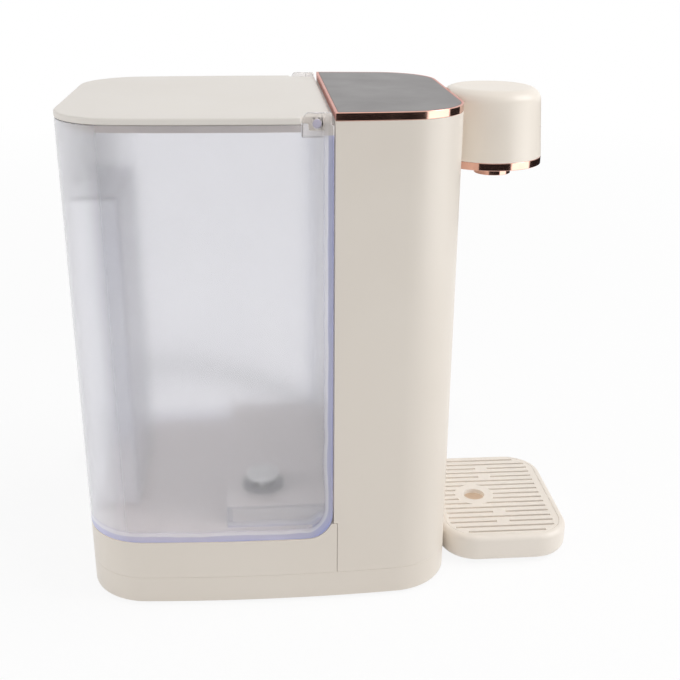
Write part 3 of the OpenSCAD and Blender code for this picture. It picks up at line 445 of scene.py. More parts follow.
def brushed(name, dark, light, stretch):
    """Brushed metal: fine lines along one axis in shade, gloss and relief."""
    material, tree, shader = blank_finish(name)
    shader.inputs["Metallic"].default_value = 1
    lines = object_noise(tree, 500, 4.0, stretch)
    tree.links.new(two_tone(tree, lines, dark, light), shader.inputs["Base Color"])
    tree.links.new(spread(tree, lines, 0.22, 0.38), shader.inputs["Roughness"])
    grain(tree, shader, 500, 0.00003, 0.25, stretch)
    return material


def lacquered_board():
    """Green solder mask with paler copper traces under it."""
    material, tree, shader = blank_finish("lacquered_board")
    place = tree.nodes.new("ShaderNodeTexCoord")
    traces = tree.nodes.new("ShaderNodeTexBrick")
    traces.inputs["Scale"].default_value = 90
    traces.inputs["Mortar Size"].default_value = 0.06
    traces.inputs["Color1"].default_value = (0.012, 0.09, 0.05, 1)
    traces.inputs["Color2"].default_value = (0.016, 0.12, 0.06, 1)
    traces.inputs["Mortar"].default_value = (0.05, 0.26, 0.12, 1)
    tree.links.new(place.outputs["Object"], traces.inputs["Vector"])
    tree.links.new(traces.outputs["Color"], shader.inputs["Base Color"])
    tree.links.new(spread(tree, object_noise(tree, 200), 0.25, 0.4), shader.inputs["Roughness"])
    return material


rubber = moulded("dark_rubber", (0.018, 0.018, 0.02), (0.03, 0.03, 0.033), (0.55, 0.75), 2400, 0.00008, 40)
sheath = moulded("cord_sheath", (0.02, 0.02, 0.022), (0.034, 0.034, 0.037), (0.42, 0.55), 1800, 0.00005, 40)
dark_plastic = moulded(
    "dark_plastic", (0.02, 0.02, 0.022), (0.04, 0.04, 0.044), (0.35, 0.5), 1600, 0.00006, 40
)
white_plastic = moulded(
    "white_plastic", (0.74, 0.74, 0.72), (0.8, 0.8, 0.78), (0.3, 0.45), 1600, 0.00005, 30
)
silicone = moulded("silicone", (0.62, 0.6, 0.56), (0.72, 0.7, 0.66), (0.35, 0.5), 900, 0.00006, 30)
tune(silicone, "Subsurface Weight", 0.2)
pin_plastic = moulded("pin_plastic", (0.48, 0.45, 0.56), (0.56, 0.53, 0.64), (0.3, 0.4), 1300, 0.00004, 40)
valve_grey = moulded(
    "valve_plastic", (0.15, 0.143, 0.15), (0.2, 0.192, 0.2), (0.35, 0.5), 1600, 0.00006, 40
)
gasket = moulded("lid_gasket", (0.52, 0.44, 0.4), (0.6, 0.52, 0.47), (0.45, 0.6), 1200, 0.00005, 40)
steel = brushed("brushed_steel", (0.52, 0.53, 0.55), (0.7, 0.71, 0.73), (1, 1, 0.04))
pin_metal = brushed("plated_pins", (0.66, 0.6, 0.46), (0.8, 0.74, 0.58), (0.1, 0.1, 1))
board = lacquered_board()
print(len(bpy.data.materials), "materials")

# %% [markdown]
# ## The mains lead
# A dark lead leaves the rear corner away from the camera, swings out behind the tank, where the frosted
# plastic shows it as a blurred line, and ends in a small coil with its plug behind the column. The route's
# points are the CAD model's own, in metres. A curve of one spline keeps the real length measurable.

# %% Route of the lead
lead_d = 6.4 * mm
relief_end_r = lead_d / 2 + 0.8 * mm
relief_low, relief_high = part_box("strain_relief")
relief_out = Vector((math.cos(math.radians(45)), math.sin(math.radians(45)), 0))
relief_mid_z = (relief_low.z + relief_high.z) / 2
lead_exit = Vector((relief_high.x, relief_high.y, relief_mid_z)) - relief_end_r * relief_out
route_mm = [
    (102, 165.5, 9.4), (114, 168, 6.6), (128, 168.5, 4.4), (146, 168.5, 3.4), (166, 168.5, 3.4),
    (186, 168.5, 3.4), (206, 168, 3.4), (224, 166.5, 3.4), (240, 163.5, 3.4), (254, 158, 3.4),
    (265, 149.5, 3.4), (272.5, 138.5, 3.4), (276, 126, 3.4), (275, 113, 3.4), (270, 100, 3.4),
    (262, 86.5, 3.4), (252.5, 72.5, 3.4), (242, 58, 3.4), (230.5, 43.5, 3.4), (218, 30, 3.4),
    (204, 17.5, 3.4), (189, 6.5, 3.6), (174, -2.5, 3.8), (158, -10.5, 4),
]
coil_middle = Vector((150, -58, 0)) * mm
coil_r = 37.6 * mm
coil_pitch = 7.2 * mm
coil_z = 4.4 * mm
coil_start = math.radians(120)
layer_turns = 1
climb_turns = 0.5
all_turns = 2 * layer_turns + climb_turns
turn_steps = 24
plug_lead = 34 * mm
plug_z = 8.4 * mm


def coil_point(t):
    """The lead after t turns: it spirals in, climbs half a turn and spirals out again on top."""
    a = coil_start + 2 * math.pi * t
    inwards = all_turns / 2 - abs(t - all_turns / 2)
    f = min(1, max(0, (t - layer_turns) / climb_turns))
    r = coil_r - coil_pitch * inwards
    z = coil_z + coil_pitch * f * f * (3 - 2 * f)
    return coil_middle + Vector((r * math.cos(a), r * math.sin(a), z))


def rounded_route(points, steps=4):
    """A smooth line through the points, with a few more between each two."""
    line = []
    for i in range(len(points) - 1):
        p0, p1, p2, p3 = (points[min(max(k, 0), len(points) - 1)] for k in range(i - 1, i + 3))
        for s in range(steps):
            t = s / steps
            line.append(
                0.5 * (2 * p1 + t * (p2 - p0) + t**2 * (2 * p0 - 5 * p1 + 4 * p2 - p3)
                       + t**3 * (3 * p1 - p0 - 3 * p2 + p3))
            )
    return line + [points[-1]]


into_coil = Vector((math.cos(coil_start + math.pi / 2), math.sin(coil_start + math.pi / 2), 0.02))
plug_turn = coil_start + 2 * math.pi * all_turns + math.pi / 2
plug_out = Vector((math.cos(plug_turn), math.sin(plug_turn), 0))
turns = [coil_point(i / turn_steps) for i in range(int(all_turns * turn_steps) + 1)]
plug_at = Vector((turns[-1].x, turns[-1].y, plug_z)) + plug_lead * plug_out
lead_points = [lead_exit, lead_exit + 6 * mm * relief_out] + [Vector(p) * mm for p in route_mm]
lead_points += [turns[0] - k * lead_d * into_coil for k in (2, 1)] + turns
lead_points += [turns[-1] + 8 * mm * plug_out - Vector((0, 0, 0.4 * mm))]
lead_points += [turns[-1] + 16 * mm * plug_out - Vector((0, 0, 1.6 * mm))]
lead_points += [plug_at - lead_d * plug_out, plug_at]
lead_line = rounded_route(lead_points)

# %% Lead as a curve
lead_curve = bpy.data.curves.new("mains_lead", "CURVE")
lead_curve.dimensions = "3D"
lead_curve.bevel_depth = lead_d / 2
lead_curve.bevel_resolution = 5
lead_curve.use_fill_caps = True
spline = lead_curve.splines.new("POLY")
spline.points.add(len(lead_line) - 1)
for point, at in zip(spline.points, lead_line):
    point.co = (*at, 1)
lead = add_piece("mains_lead", lead_curve, sheath, "power_cord", "cord_coil")
print(lead.name, len(lead_line), "points")

# %% [markdown]
# ## Geometry Nodes helpers
# Ribs, slots and holes repeat by a rule, so Geometry Nodes make them. `node_tree` opens a tree with named
# inputs, and `grown_mesh` runs it once and keeps the result as a plain mesh.

# %% Helpers for Geometry Nodes


def node_tree(name, sizes):
    """A new tree with these named inputs. Returns the tree, its input node and a maker of nodes."""
    tree = bpy.data.node_groups.new(name, "GeometryNodeTree")
    tree.interface.new_socket("Geometry", in_out="OUTPUT", socket_type="NodeSocketGeometry")
    for label, value in sizes.items():
        kind = "NodeSocketInt" if isinstance(value, int) else "NodeSocketFloat"
        tree.interface.new_socket(label, in_out="INPUT", socket_type=kind)
    inputs = tree.nodes.new("NodeGroupInput")

    def make(kind, **sockets):
        """Adds a node, with numbers set on its sockets and outputs linked to them."""
        node = tree.nodes.new(kind)
        for label, value in sockets.items():
            socket = next(s for s in node.inputs if s.name == label.replace("_", " ") and s.enabled)
            if isinstance(value, bpy.types.NodeSocket):
                tree.links.new(value, socket)
            else:
                socket.default_value = value
        return node

    return tree, inputs.outputs, make


def grown_mesh(name, tree, sizes, geometry, material):
    """Ends the tree in plain geometry with a material, runs it with these sizes and returns the mesh."""
    real = tree.nodes.new("GeometryNodeRealizeInstances")
    paint = tree.nodes.new("GeometryNodeSetMaterial")
    paint.inputs["Material"].default_value = material
    output = tree.nodes.new("NodeGroupOutput")
    tree.links.new(geometry, real.inputs["Geometry"])
    tree.links.new(real.outputs["Geometry"], paint.inputs["Geometry"])
    tree.links.new(paint.outputs["Geometry"], output.inputs["Geometry"])
    holder = bpy.data.objects.new(name + "_nodes", bpy.data.meshes.new(name + "_nodes"))
    bpy.context.scene.collection.objects.link(holder)
    modifier = holder.modifiers.new(name, "NODES")
    modifier.node_group = tree
    identifiers = {s.name: s.identifier for s in tree.interface.items_tree if s.in_out == "INPUT"}
    for label, value in sizes.items():
        modifier[identifiers[label]] = value
    evaluated = holder.evaluated_get(bpy.context.evaluated_depsgraph_get())
    mesh = bpy.data.meshes.new_from_object(evaluated)
    mesh.name = name
    bpy.data.objects.remove(holder)
    return mesh


print("geometry node helpers ready")

# %% [markdown]
# ## Strain relief
# A moulded sleeve keeps the lead from kinking at the housing. It is a taper with ribs that get smaller
# towards the lead: one ring, set along a line and scaled at each place.

# %% Ribbed strain relief
relief_sizes = {
    "Ribs": 9, "Length": 30 * mm, "Base radius": 6.2 * mm, "End radius": 4.0 * mm, "Core share": 0.82,
}
rib_start, rib_span = 0.08, 0.86
rib_w = 0.12
tree, given, make = node_tree("ribbed_relief", relief_sizes)
calc = math_maker(tree)
circle = make("GeometryNodeCurvePrimitiveCircle", Resolution=28, Radius=1 - rib_w)
section = make("GeometryNodeCurvePrimitiveCircle", Resolution=10, Radius=rib_w)
rib = make("GeometryNodeCurveToMesh", Curve=circle.outputs["Curve"], Profile_Curve=section.outputs["Curve"])
steps = calc("SUBTRACT", given["Ribs"], 1)
gap = make("ShaderNodeCombineXYZ", Z=calc("DIVIDE", calc("MULTIPLY", given["Length"], rib_span), steps))
first = make("ShaderNodeCombineXYZ", Z=calc("MULTIPLY", given["Length"], rib_start))
along = make(
    "GeometryNodeMeshLine", Count=given["Ribs"], Start_Location=first.outputs[0], Offset=gap.outputs[0],
)
share = calc("DIVIDE", make("GeometryNodeInputIndex").outputs[0], steps)
taper = calc("SUBTRACT", given["End radius"], given["Base radius"])
rib_r = calc("MULTIPLY_ADD", share, taper, given["Base radius"])
ribs = make(
    "GeometryNodeInstanceOnPoints", Points=along.outputs["Mesh"], Instance=rib.outputs["Mesh"], Scale=rib_r,
)
core = make(
    "GeometryNodeMeshCone",
    Vertices=28,
    Radius_Bottom=calc("MULTIPLY", given["Base radius"], given["Core share"]),
    Radius_Top=calc("MULTIPLY", given["End radius"], given["Core share"]),
    Depth=given["Length"],
)
both = make("GeometryNodeJoinGeometry")
tree.links.new(ribs.outputs["Instances"], both.inputs["Geometry"])
tree.links.new(core.outputs["Mesh"], both.inputs["Geometry"])
relief_mesh = grown_mesh("ribbed_relief", tree, relief_sizes, both.outputs["Geometry"], sheath)
relief_mesh.transform(
    Matrix.Translation(lead_exit - relief_sizes["Length"] * relief_out)
    @ Matrix.Rotation(math.radians(45), 4, "Z")
    @ Matrix.Rotation(math.radians(90), 4, "Y")
)
relief_mesh.shade_smooth()
relief = add_piece("ribbed_relief", relief_mesh, sheath, "strain_relief")
print(relief.name, len(relief_mesh.polygons), "faces")

# %% [markdown]
# ## Plug
# The plug is a flat moulded body that widens from the lead to the pins. Superellipse sections along its
# length give the soft, thumb-worn form that an extruded block lacks.

# %% Plug body


def plug_ring(at, half_w, half_h, points=32, power=3.2):
    """One section of the plug, across its length."""
    ring = []
    across = Vector((-plug_out.y, plug_out.x, 0))
    for i in range(points):
        a = 2 * math.pi * i / points
        c, s = math.cos(a), math.sin(a)
        x = half_w * math.copysign(abs(c) ** (2 / power), c)
        z = half_h * math.copysign(abs(s) ** (2 / power), s)
        ring.append(plug_at + at * plug_out + x * across + Vector((0, 0, z)))
    return ring


plug_stations = [
    (0, 4.2, 4.2), (0.5, 4.9, 4.9), (4, 5.2, 5.2), (4.4, 4.6, 4.6), (6, 4.6, 4.6), (6.4, 5.4, 5.4),
    (9, 5.7, 5.6), (9.4, 5.0, 5.0), (11, 5.0, 5.0), (11.4, 6.0, 6.0), (14, 6.6, 6.6), (18, 9.2, 7.4),
    (23, 13.2, 7.8), (28, 16, 7.9), (32, 16.9, 7.9), (36, 16.9, 7.9), (37.4, 16.4, 7.4), (38, 15.4, 6.6),
]
plug_mesh = loft("plug", [plug_ring(t * mm, w * mm, h * mm) for t, w, h in plug_stations])
plug = add_piece("plug", plug_mesh, sheath, "plug_body")
print(plug.name, len(plug_mesh.polygons), "faces")

# %% [markdown]
# ## Housing, column and head
# These mouldings keep the CAD shape. What the photograph adds is the small radius on every edge: a hard
# edge catches no light, a rounded one draws a fine bright line along the seam. A bevel on a merged copy
# of the CAD mesh gives that and leaves the frame untouched.

# %% Cream mouldings
mouldings = {
    "bottom_pan": 0.25 * mm,
    "base_cradle": 0.25 * mm,
    "column_shell": 0.25 * mm,
    "head_shell": 0.3 * mm,
}
for node, width in mouldings.items():
    rounded_node(node, head_cream if node == "head_shell" else cream, width)
print(", ".join(mouldings))

# %% Plated trim, panel and nozzle
trim = rounded_node("panel_trim", rose_gold, 0.35 * mm)
rounded_node("head_trim", rose_gold, 0.3 * mm)
rounded_node("nozzle", rose_gold, 0.25 * mm)
# Faces that point up or to the rear take the darker copy, a painted shade.
trim.data.materials.append(edge_gold_painted_shade)
faces_up, faces_rear = 0.3, 0.7
for face in trim.data.polygons:
    if face.normal.z > faces_up or face.normal.y > faces_rear:
        face.material_index = 1
panel = rounded_node("control_panel", smoked, 0.3 * mm)
print("trim, band, nozzle,", panel.name)

# %% [markdown]
# ## Tank and lid
# The tank is one deep moulding with a grip recess at the back and a raised floor round the valve. The
# rim and the corners of the recess are what shows most, because frosted edges gather light. Under the
# hinge ears the CAD mesh is cut level and its flat faces are merged, so that the bevel stays clean. The
# tank casts no shadow, because nearly all light passes through it.

# %% Tank and lid
tank_mesh = merged_copy("tank")
bm = bmesh.new()
bm.from_mesh(tank_mesh)
under_ears = tank_high.z - 13.5 * mm
hinge_x, hinge_l = 70 * mm, 25 * mm
everything = bm.verts[:] + bm.edges[:] + bm.faces[:]
bmesh.ops.bisect_plane(bm, geom=everything, plane_co=(0, 0, under_ears), plane_no=(0, 0, 1))


def below_hinge(v):
    """True for a point of the side walls under the hinge ears."""
    return v.co.z < under_ears + 0.001 * mm and abs(v.co.x) > hinge_x and v.co.y < tank_low.y + hinge_l


plain_edges = [e for e in bm.edges if all(below_hinge(v) for v in e.verts)]
bmesh.ops.dissolve_limit(bm, angle_limit=math.radians(0.3), verts=[], edges=plain_edges)
bm.to_mesh(tank_mesh)
bm.free()
tank = round_edges(add_piece("tank_rounded", tank_mesh, frosted, "tank"), 0.6 * mm)
tank.visible_shadow = False
for finish in (tank_floor, tank_grip, tank_inside):
    tank.data.materials.append(finish)
tank_mid = (tank_low + tank_high) / 2
level = 0.95
floor_top = tank_low.z + 21 * mm
grip_half, grip_top = 46 * mm, tank_high.z - 34 * mm
grip_front, grip_rear = tank_high.y - 30 * mm, tank_high.y - 1 * mm
for face in tank.data.polygons:
    x, y, z = face.center
    outwards = face.normal.x * x + face.normal.y * (y - tank_mid.y)
    # Floor faces take the warmer, less clear copy, a painted light.
    if abs(face.normal.z) > level and z < floor_top:
        face.material_index = 1
    elif abs(x) < grip_half and grip_front < y < grip_rear and z < grip_top:
        face.material_index = 2
    elif outwards < 0:
        face.material_index = 3
lid = rounded_node("tank_lid", lid_cream, 0.9 * mm, 4)
pins = rounded_node("lid_hinge_pins", pin_plastic, 0.3 * mm)
print(tank.name, lid.name, pins.name)

# %% [markdown]
# ## Drip tray
# The tray is a shallow dish with a generous roll along its top edge and a wider one underneath, so it
# seems to float over the counter. It is lofted: one rounded outline, set in and raised along a profile
# that runs up the outside, over the rim, down to the ledge of the grate and into the basin.

# %% Tray outline
tray_low, tray_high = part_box("drip_tray")
tongue_l = 13 * mm
tray_rear = tray_high.y - tongue_l
tray_r = 22.4 * mm
tray_t = 2.4 * mm
rim_w = 4.0 * mm
ledge_in = 2.0 * mm
seat_gap = 0.3 * mm
grate_t = 3.0 * mm
tray_half = (tray_high.x - tray_low.x) / 2


def tray_ring(inset, z, steps=14):
    """The tray's rounded outline, set in by some distance."""
    r = tray_r - inset
    ring = []
    for x, y, start in ((-1, -1, 180), (1, -1, 270), (1, 1, 0), (-1, 1, 90)):
        mid = Vector((x * (tray_half - tray_r), tray_low.y + tray_r if y < 0 else tray_rear - tray_r, z))
        for i in range(steps + 1):
            a = math.radians(start + 90 * i / steps)
            ring.append(mid + r * Vector((math.cos(a), math.sin(a), 0)))
    return ring


print(f"tray {2 * tray_half:.3f} m wide, {tray_rear - tray_low.y:.3f} m deep")

# %% Tray loft
edge_r = 3.4 * mm
under_r = 5.0 * mm
lip_r = 0.3 * mm
arc = [math.radians(a) for a in range(0, 91, 15)]
profile = [(under_r * (1 - math.sin(a)), tray_low.z + under_r * (1 - math.cos(a))) for a in arc]
profile += [(edge_r * (1 - math.cos(a)), tray_high.z - edge_r * (1 - math.sin(a))) for a in arc]
profile += [(rim_w - lip_r * (1 - math.sin(a)), tray_high.z - lip_r * (1 - math.cos(a))) for a in arc[1:]]
basin_in = rim_w + ledge_in
ledge_z = tray_high.z - grate_t - seat_gap
basin_z = tray_low.z + tray_t
basin_slope = 2 * mm
profile += [(rim_w, ledge_z), (basin_in, ledge_z)]
profile += [(basin_in, basin_z + basin_slope), (basin_in + basin_slope, basin_z)]
tray_mesh = loft("drip_tray_rolled", [tray_ring(inset, z) for inset, z in profile])
bm = bmesh.new()
bm.from_mesh(tray_mesh)
tongue_w, tongue_t, tongue_x, tongue_z = 18 * mm, 3 * mm, 21.6 * mm, 8 * mm
for side in (-1, 1):
    middle = Vector((side * tongue_x, tray_rear + (tongue_l - tray_t) / 2, tongue_z + tongue_t / 2))
    size = Matrix.Diagonal((tongue_w, tongue_l + tray_t, tongue_t, 1))
    bmesh.ops.create_cube(bm, size=1, matrix=Matrix.Translation(middle) @ size)
bm.to_mesh(tray_mesh)
bm.free()
tray_mesh.set_sharp_from_angle(angle=math.radians(50))
tray = even_shading(add_piece("drip_tray_rolled", tray_mesh, tray_cream, "drip_tray"))
# The ledge and basin faces take the darker, warmer copy, a painted shade.
tray_mesh.materials.append(basin_shaded_cream)
ring_points = len(tray_ring(0, 0))
first_basin_face = (3 * len(arc) - 2) * ring_points
basin_floor_face = (len(profile) - 1) * ring_points + 1
for i in [*range(first_basin_face, basin_floor_face - 1), basin_floor_face]:
    tray_mesh.polygons[i].material_index = 1
print(tray.name, len(tray_mesh.polygons), "faces")

# %% [markdown]
# ## Drip grate
# The grate is a plate with a row of fine slots that stop short of the rim, a round finger hole and solid
# webs that keep it stiff. The rule is simple, so Geometry Nodes cut it: one long cutter is set on each
# point of a row, its ends follow the rounded outline, and the ring and the webs are taken out of the
# cutters before they cut the plate. The grate casts no shadow either, so that the basin under its slots
# stays as pale as in the photograph.

# %% Slot cutters by Geometry Nodes
grate_sizes = {
    "Slots": 17, "Pitch": 5.7 * mm, "Slot width": 1.8 * mm, "Front margin": 8.4 * mm,
    "Rear margin": 6.4 * mm, "Edge": 6.0 * mm, "Corner radius": tray_r, "Half width": tray_half,
    "Front": tray_low.y, "Rear": tray_rear, "Low": tray_high.z - grate_t, "Thickness": grate_t,
    "Finger radius": 6.8 * mm, "Finger place": -94.2 * mm, "Finger ring": 5.8 * mm, "Web": 8.0 * mm,
}
tree, given, make = node_tree("slotted_grate", grate_sizes)
calc = math_maker(tree)


def xyz(x=0.0, y=0.0, z=0.0):
    """Three numbers or sockets as one vector."""
    return make("ShaderNodeCombineXYZ", X=x, Y=y, Z=z).outputs[0]


place = make("GeometryNodeInputPosition").outputs[0]
place_x = make("ShaderNodeSeparateXYZ", Vector=place).outputs["X"]
across = calc("ABSOLUTE", place_x)
straight = calc("SUBTRACT", given["Half width"], given["Corner radius"])
corner_in = calc("MAXIMUM", 0, calc("SUBTRACT", across, straight))
slot_r = calc("SUBTRACT", given["Corner radius"], given["Edge"])
squares = calc("SUBTRACT", calc("POWER", slot_r, 2), calc("POWER", corner_in, 2))
arc_y = calc("SQRT", calc("MAXIMUM", 0, squares))
round_stop = calc("ADD", given["Edge"], calc("SUBTRACT", slot_r, arc_y))
slot_front = calc("ADD", given["Front"], calc("MAXIMUM", given["Front margin"], round_stop))
slot_rear = calc("SUBTRACT", given["Rear"], calc("MAXIMUM", given["Rear margin"], round_stop))
slot_mid = calc("MULTIPLY", calc("ADD", slot_front, slot_rear), 0.5)
row_half = calc("MULTIPLY", calc("SUBTRACT", given["Slots"], 1), 0.5)
row_start = calc("MULTIPLY", calc("MULTIPLY", row_half, given["Pitch"]), -1)
plate_mid_z = calc("MULTIPLY_ADD", given["Thickness"], 0.5, given["Low"])
row = make(
    "GeometryNodeMeshLine", Count=given["Slots"], Start_Location=xyz(row_start), Offset=xyz(given["Pitch"]),
)
slot_spot = xyz(place_x, slot_mid, plate_mid_z)
row = make("GeometryNodeSetPosition", Geometry=row.outputs["Mesh"], Position=slot_spot)
cutter_size = xyz(given["Slot width"], 1.0, calc("MULTIPLY", given["Thickness"], 3))
cutter = make("GeometryNodeMeshCube", Size=cutter_size)
slots = make(
    "GeometryNodeInstanceOnPoints",
    Points=row.outputs["Geometry"],
    Instance=cutter.outputs["Mesh"],
    Scale=xyz(1.0, calc("SUBTRACT", slot_rear, slot_front), 1.0),
)
slots = make("GeometryNodeRealizeInstances", Geometry=slots.outputs["Instances"])
print(grate_sizes["Slots"], "slots")

# %% Finger ring, webs and finger hole
tall = calc("MULTIPLY", given["Thickness"], 5)
ring_r = calc("ADD", given["Finger radius"], given["Finger ring"])
ring = make("GeometryNodeMeshCylinder", Vertices=64, Radius=ring_r, Depth=tall)
finger_spot = xyz(0.0, given["Finger place"], plate_mid_z)
ring = make("GeometryNodeTransform", Geometry=ring.outputs["Mesh"], Translation=finger_spot)
web_size = xyz(given["Pitch"], given["Web"], tall)
web = make("GeometryNodeMeshCube", Size=web_size)
web_y = calc("MULTIPLY", calc("ADD", given["Front"], given["Rear"]), 0.5)
keep = make("GeometryNodeJoinGeometry")
tree.links.new(ring.outputs["Geometry"], keep.inputs["Geometry"])
for webbed_slot in (-6, -4, 4, 6):
    web_spot = xyz(calc("MULTIPLY", given["Pitch"], webbed_slot), web_y, plate_mid_z)
    placed = make("GeometryNodeTransform", Geometry=web.outputs["Mesh"], Translation=web_spot)
    tree.links.new(placed.outputs["Geometry"], keep.inputs["Geometry"])


def without(whole, *parts):
    """One closed mesh with others cut away."""
    cut = make("GeometryNodeMeshBoolean")
    tree.links.new(whole, cut.inputs["Mesh 1"])
    for part in parts:
        tree.links.new(part, cut.inputs["Mesh 2"])
    return cut.outputs["Mesh"]


slot_cutters = without(slots.outputs["Geometry"], keep.outputs["Geometry"])
hole = make("GeometryNodeMeshCylinder", Vertices=64, Radius=given["Finger radius"], Depth=tall)
hole = make("GeometryNodeTransform", Geometry=hole.outputs["Mesh"], Translation=finger_spot)
print("finger ring and webs kept, finger hole ready")

# %% Grate plate and its cut
grate_gap = 0.12 * mm
plate_points = tray_ring(rim_w + grate_gap, tray_high.z - grate_t)
plate_top = [p + Vector((0, 0, grate_t)) for p in plate_points]
plate = bpy.data.objects.new("grate_plate", loft("grate_plate", [plate_points, plate_top]))
blank = make("GeometryNodeObjectInfo", Object=plate)
cut_plate = without(blank.outputs["Geometry"], slot_cutters, hole.outputs["Geometry"])
grate_mesh = grown_mesh("slotted_grate", tree, grate_sizes, cut_plate, tray_cream)
bpy.data.objects.remove(plate)
grate_mesh.shade_smooth()
grate = round_edges(add_piece("slotted_grate", grate_mesh, tray_cream, "drip_grate"), 0.2 * mm, 2)
# Faces that don't point up, the slot walls, take the paler copy, a painted light.
grate_mesh.materials.append(slot_lit_cream)
for face in grate_mesh.polygons:
    face.material_index = 0 if face.normal.z > 0.5 else 1
grate.visible_shadow = False
print(grate.name, len(grate_mesh.polygons), "faces")

# %% [markdown]
# ## Everything inside
# The water circuit, the boards and the seals are carried over from the CAD model with finishes of their
# own. Most are hidden in the photograph, but the tank lifts, the lid opens and the tray slides out.

# %% Finishes for the carried-over nodes
slot_finishes = {
    "cream_plastic": cream, "copper_trim": rose_gold, "panel_gloss": smoked, "frosted_tank": frosted,
    "dark_rubber": rubber, "dark_plastic": dark_plastic, "white_plastic": white_plastic,
    "silicone": silicone, "steel": steel, "board_green": board,
    "cord_rubber": sheath, "plug_metal": pin_metal,
}
finish_of_node = {
    "lid_gasket": gasket, "plug_pins": pin_metal, "cord_tie": dark_plastic, "valve_body": valve_grey,
}
for name, node in nodes.items():
    finish = finish_of_node.get(name, slot_finishes[slot_of_node[name]])
    node.data.materials.clear()
    node.data.materials.append(finish)
print(len(nodes), "nodes finished")

# %% [markdown]
# ## Studio
# The photograph is a cut-out on white. A white room does the same without hiding the object's own shadow:
# the sky is plain white where the camera, a mirror or the frosted tank sees it, and dimmer as a lamp, so
# that four soft boxes give the faces their different shades.

# %% White room


def seen_directly(tree):
    """1 for what the camera, a mirror or the frosted tank sees, 0 for light that falls on a face."""
    path = tree.nodes.new("ShaderNodeLightPath")
    calc = math_maker(tree)
    seen = calc("MAXIMUM", path.outputs["Is Camera Ray"], path.outputs["Is Glossy Ray"])
    return calc("MAXIMUM", seen, path.outputs["Is Transmission Ray"])


lamp_level = 0.46
world = bpy.data.worlds.new("white room")
bpy.context.scene.world = world
world.use_nodes = True
sky = world.node_tree
sky.nodes.clear()
strength = sky.nodes.new("ShaderNodeMapRange")
strength.inputs["To Min"].default_value = lamp_level
glow = sky.nodes.new("ShaderNodeBackground")
glow.inputs["Color"].default_value = (1, 1, 1, 1)
out = sky.nodes.new("ShaderNodeOutputWorld")
sky.links.new(seen_directly(sky), strength.inputs["Value"])
sky.links.new(strength.outputs["Result"], glow.inputs["Strength"])
sky.links.new(glow.outputs["Background"], out.inputs["Surface"])
print("white room ready")

# %% [markdown]
# The floor is a matte white sheet. Near the object an eighth of it is matte even where the camera looks, so
# it keeps a faint shadow, and this share fades with the distance, so that no horizon shows.

# %% Floor
shadow_r, white_r = 0.5, 1.6
near_white = 0.88
floor_half = 9.0
floor_paint, tree, shader = blank_finish("studio_floor")
tree.nodes.remove(shader)
matte = tree.nodes.new("ShaderNodeBsdfDiffuse")
matte.inputs["Color"].default_value = (0.95, 0.95, 0.95, 1)
white = tree.nodes.new("ShaderNodeEmission")
white.inputs["Color"].default_value = (1, 1, 1, 1)
blend = tree.nodes.new("ShaderNodeMixShader")
place = tree.nodes.new("ShaderNodeTexCoord")
reach = tree.nodes.new("ShaderNodeVectorMath")
reach.operation = "LENGTH"
tree.links.new(place.outputs["Object"], reach.inputs[0])
far = tree.nodes.new("ShaderNodeMapRange")
far.inputs["From Min"].default_value = shadow_r
far.inputs["From Max"].default_value = white_r
far.inputs["To Min"].default_value = near_white
tree.links.new(reach.outputs["Value"], far.inputs["Value"])
white_share = math_maker(tree)("MULTIPLY", seen_directly(tree), far.outputs["Result"])
tree.links.new(white_share, blend.inputs["Fac"])
tree.links.new(matte.outputs["BSDF"], blend.inputs[1])
tree.links.new(white.outputs["Emission"], blend.inputs[2])
tree.links.new(blend.outputs["Shader"], tree.nodes["Material Output"].inputs["Surface"])
floor_mesh = bpy.data.meshes.new("studio_floor")
corners = [(x * floor_half, y * floor_half, 0) for x, y in ((-1, -1), (1, -1), (1, 1), (-1, 1))]
floor_mesh.from_pydata(corners, [], [(0, 1, 2, 3)])
floor_mesh.materials.append(floor_paint)
floor = bpy.data.objects.new("studio_floor", floor_mesh)
bpy.context.scene.collection.objects.link(floor)
print(floor.name)

# %% [markdown]
# Polished metal shows its surroundings. In the photograph the near face of the plating mirrors a dark
# room and only its corner catches the white front of the studio. Two dark cards and a white one between
# them, bent round the object below the camera and kept out of its sight, bring that back.

# %% Cards for the plating


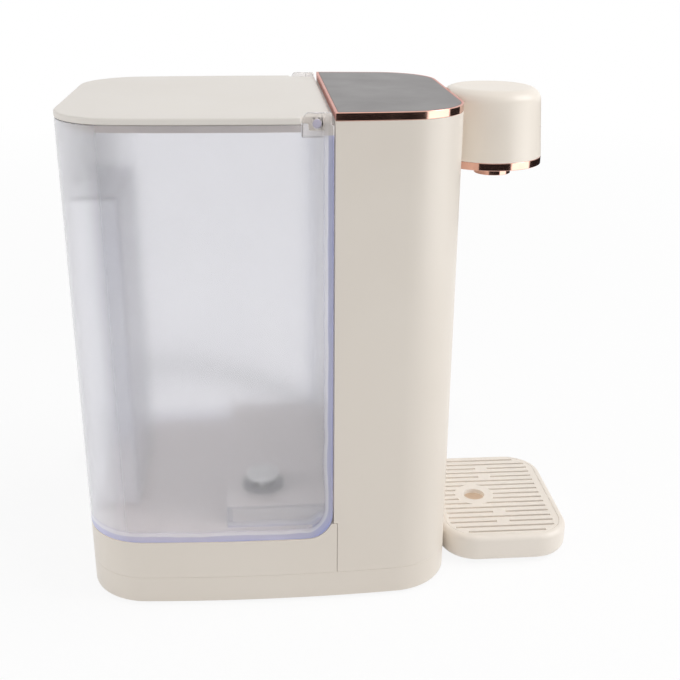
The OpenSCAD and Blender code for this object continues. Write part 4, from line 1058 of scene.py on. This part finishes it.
def mirror_card(name, paint, start, end, radius, low, high, steps=24):
    """A curved wall between two angles, counted from the camera's side towards the front."""
    points, faces = [], []
    for i in range(steps + 1):
        a = math.radians(start + (end - start) * i / steps)
        for z in (low, high):
            points.append((-radius * math.cos(a), -radius * math.sin(a), z))
        if i:
            faces.append((2 * i - 2, 2 * i, 2 * i + 1, 2 * i - 1))
    mesh = bpy.data.meshes.new(name)
    mesh.from_pydata(points, [], faces)
    mesh.materials.append(paint)
    card = bpy.data.objects.new(name, mesh)
    bpy.context.scene.collection.objects.link(card)
    card.visible_camera = card.visible_diffuse = card.visible_transmission = False
    card.visible_shadow = card.visible_volume_scatter = False


dark_paint, tree, shader = blank_finish("dark_card")
shader.inputs["Base Color"].default_value = (0.012, 0.008, 0.008, 1)
shader.inputs["Roughness"].default_value = 0.9
white_paint, tree, shader = blank_finish("white_card")
shader.inputs["Base Color"].default_value = (0, 0, 0, 1)
shader.inputs["Emission Color"].default_value = (1, 1, 1, 1)
shader.inputs["Emission Strength"].default_value = 2.2
card_r, card_low, dark_top, white_top = 0.8, -0.02, 0.235, 0.3
mirror_card("near card", dark_paint, -50, 44, card_r, card_low, dark_top)
mirror_card("corner card", white_paint, 46, 88, card_r, card_low, white_top)
mirror_card("front card", dark_paint, 90, 152, card_r, card_low, dark_top)
print("cards ready")

# %% Soft boxes


def soft_box(name, place, target, size, watts):
    """A square lamp that looks at a point."""
    lamp = bpy.data.lights.new(name, "AREA")
    lamp.shape = "SQUARE"
    lamp.size = size
    lamp.energy = watts
    box = bpy.data.objects.new(name, lamp)
    bpy.context.scene.collection.objects.link(box)
    aim = (Vector(target) - Vector(place)).to_track_quat("-Z", "Y")
    box.matrix_world = Matrix.Translation(place) @ aim.to_matrix().to_4x4()
    box.visible_transmission = False
    return box


lamp_target = (0, 0, 0.15)
soft_box("key", (-0.25, -1.7, 1.5), lamp_target, 1.2, 25)
soft_box("fill", (-2.0, 0.4, 0.9), lamp_target, 1.4, 1.5)
soft_box("top", (0.1, 0.2, 2.3), (0, 0.02, 0.15), 1.4, 4)
soft_box("rear", (-0.6, 1.9, 0.8), lamp_target, 1.2, 8.5).visible_glossy = False
print("soft boxes ready")

# %% Standard view
bpy.context.scene.view_settings.view_transform = "Standard"
print(bpy.context.scene.view_settings.view_transform)
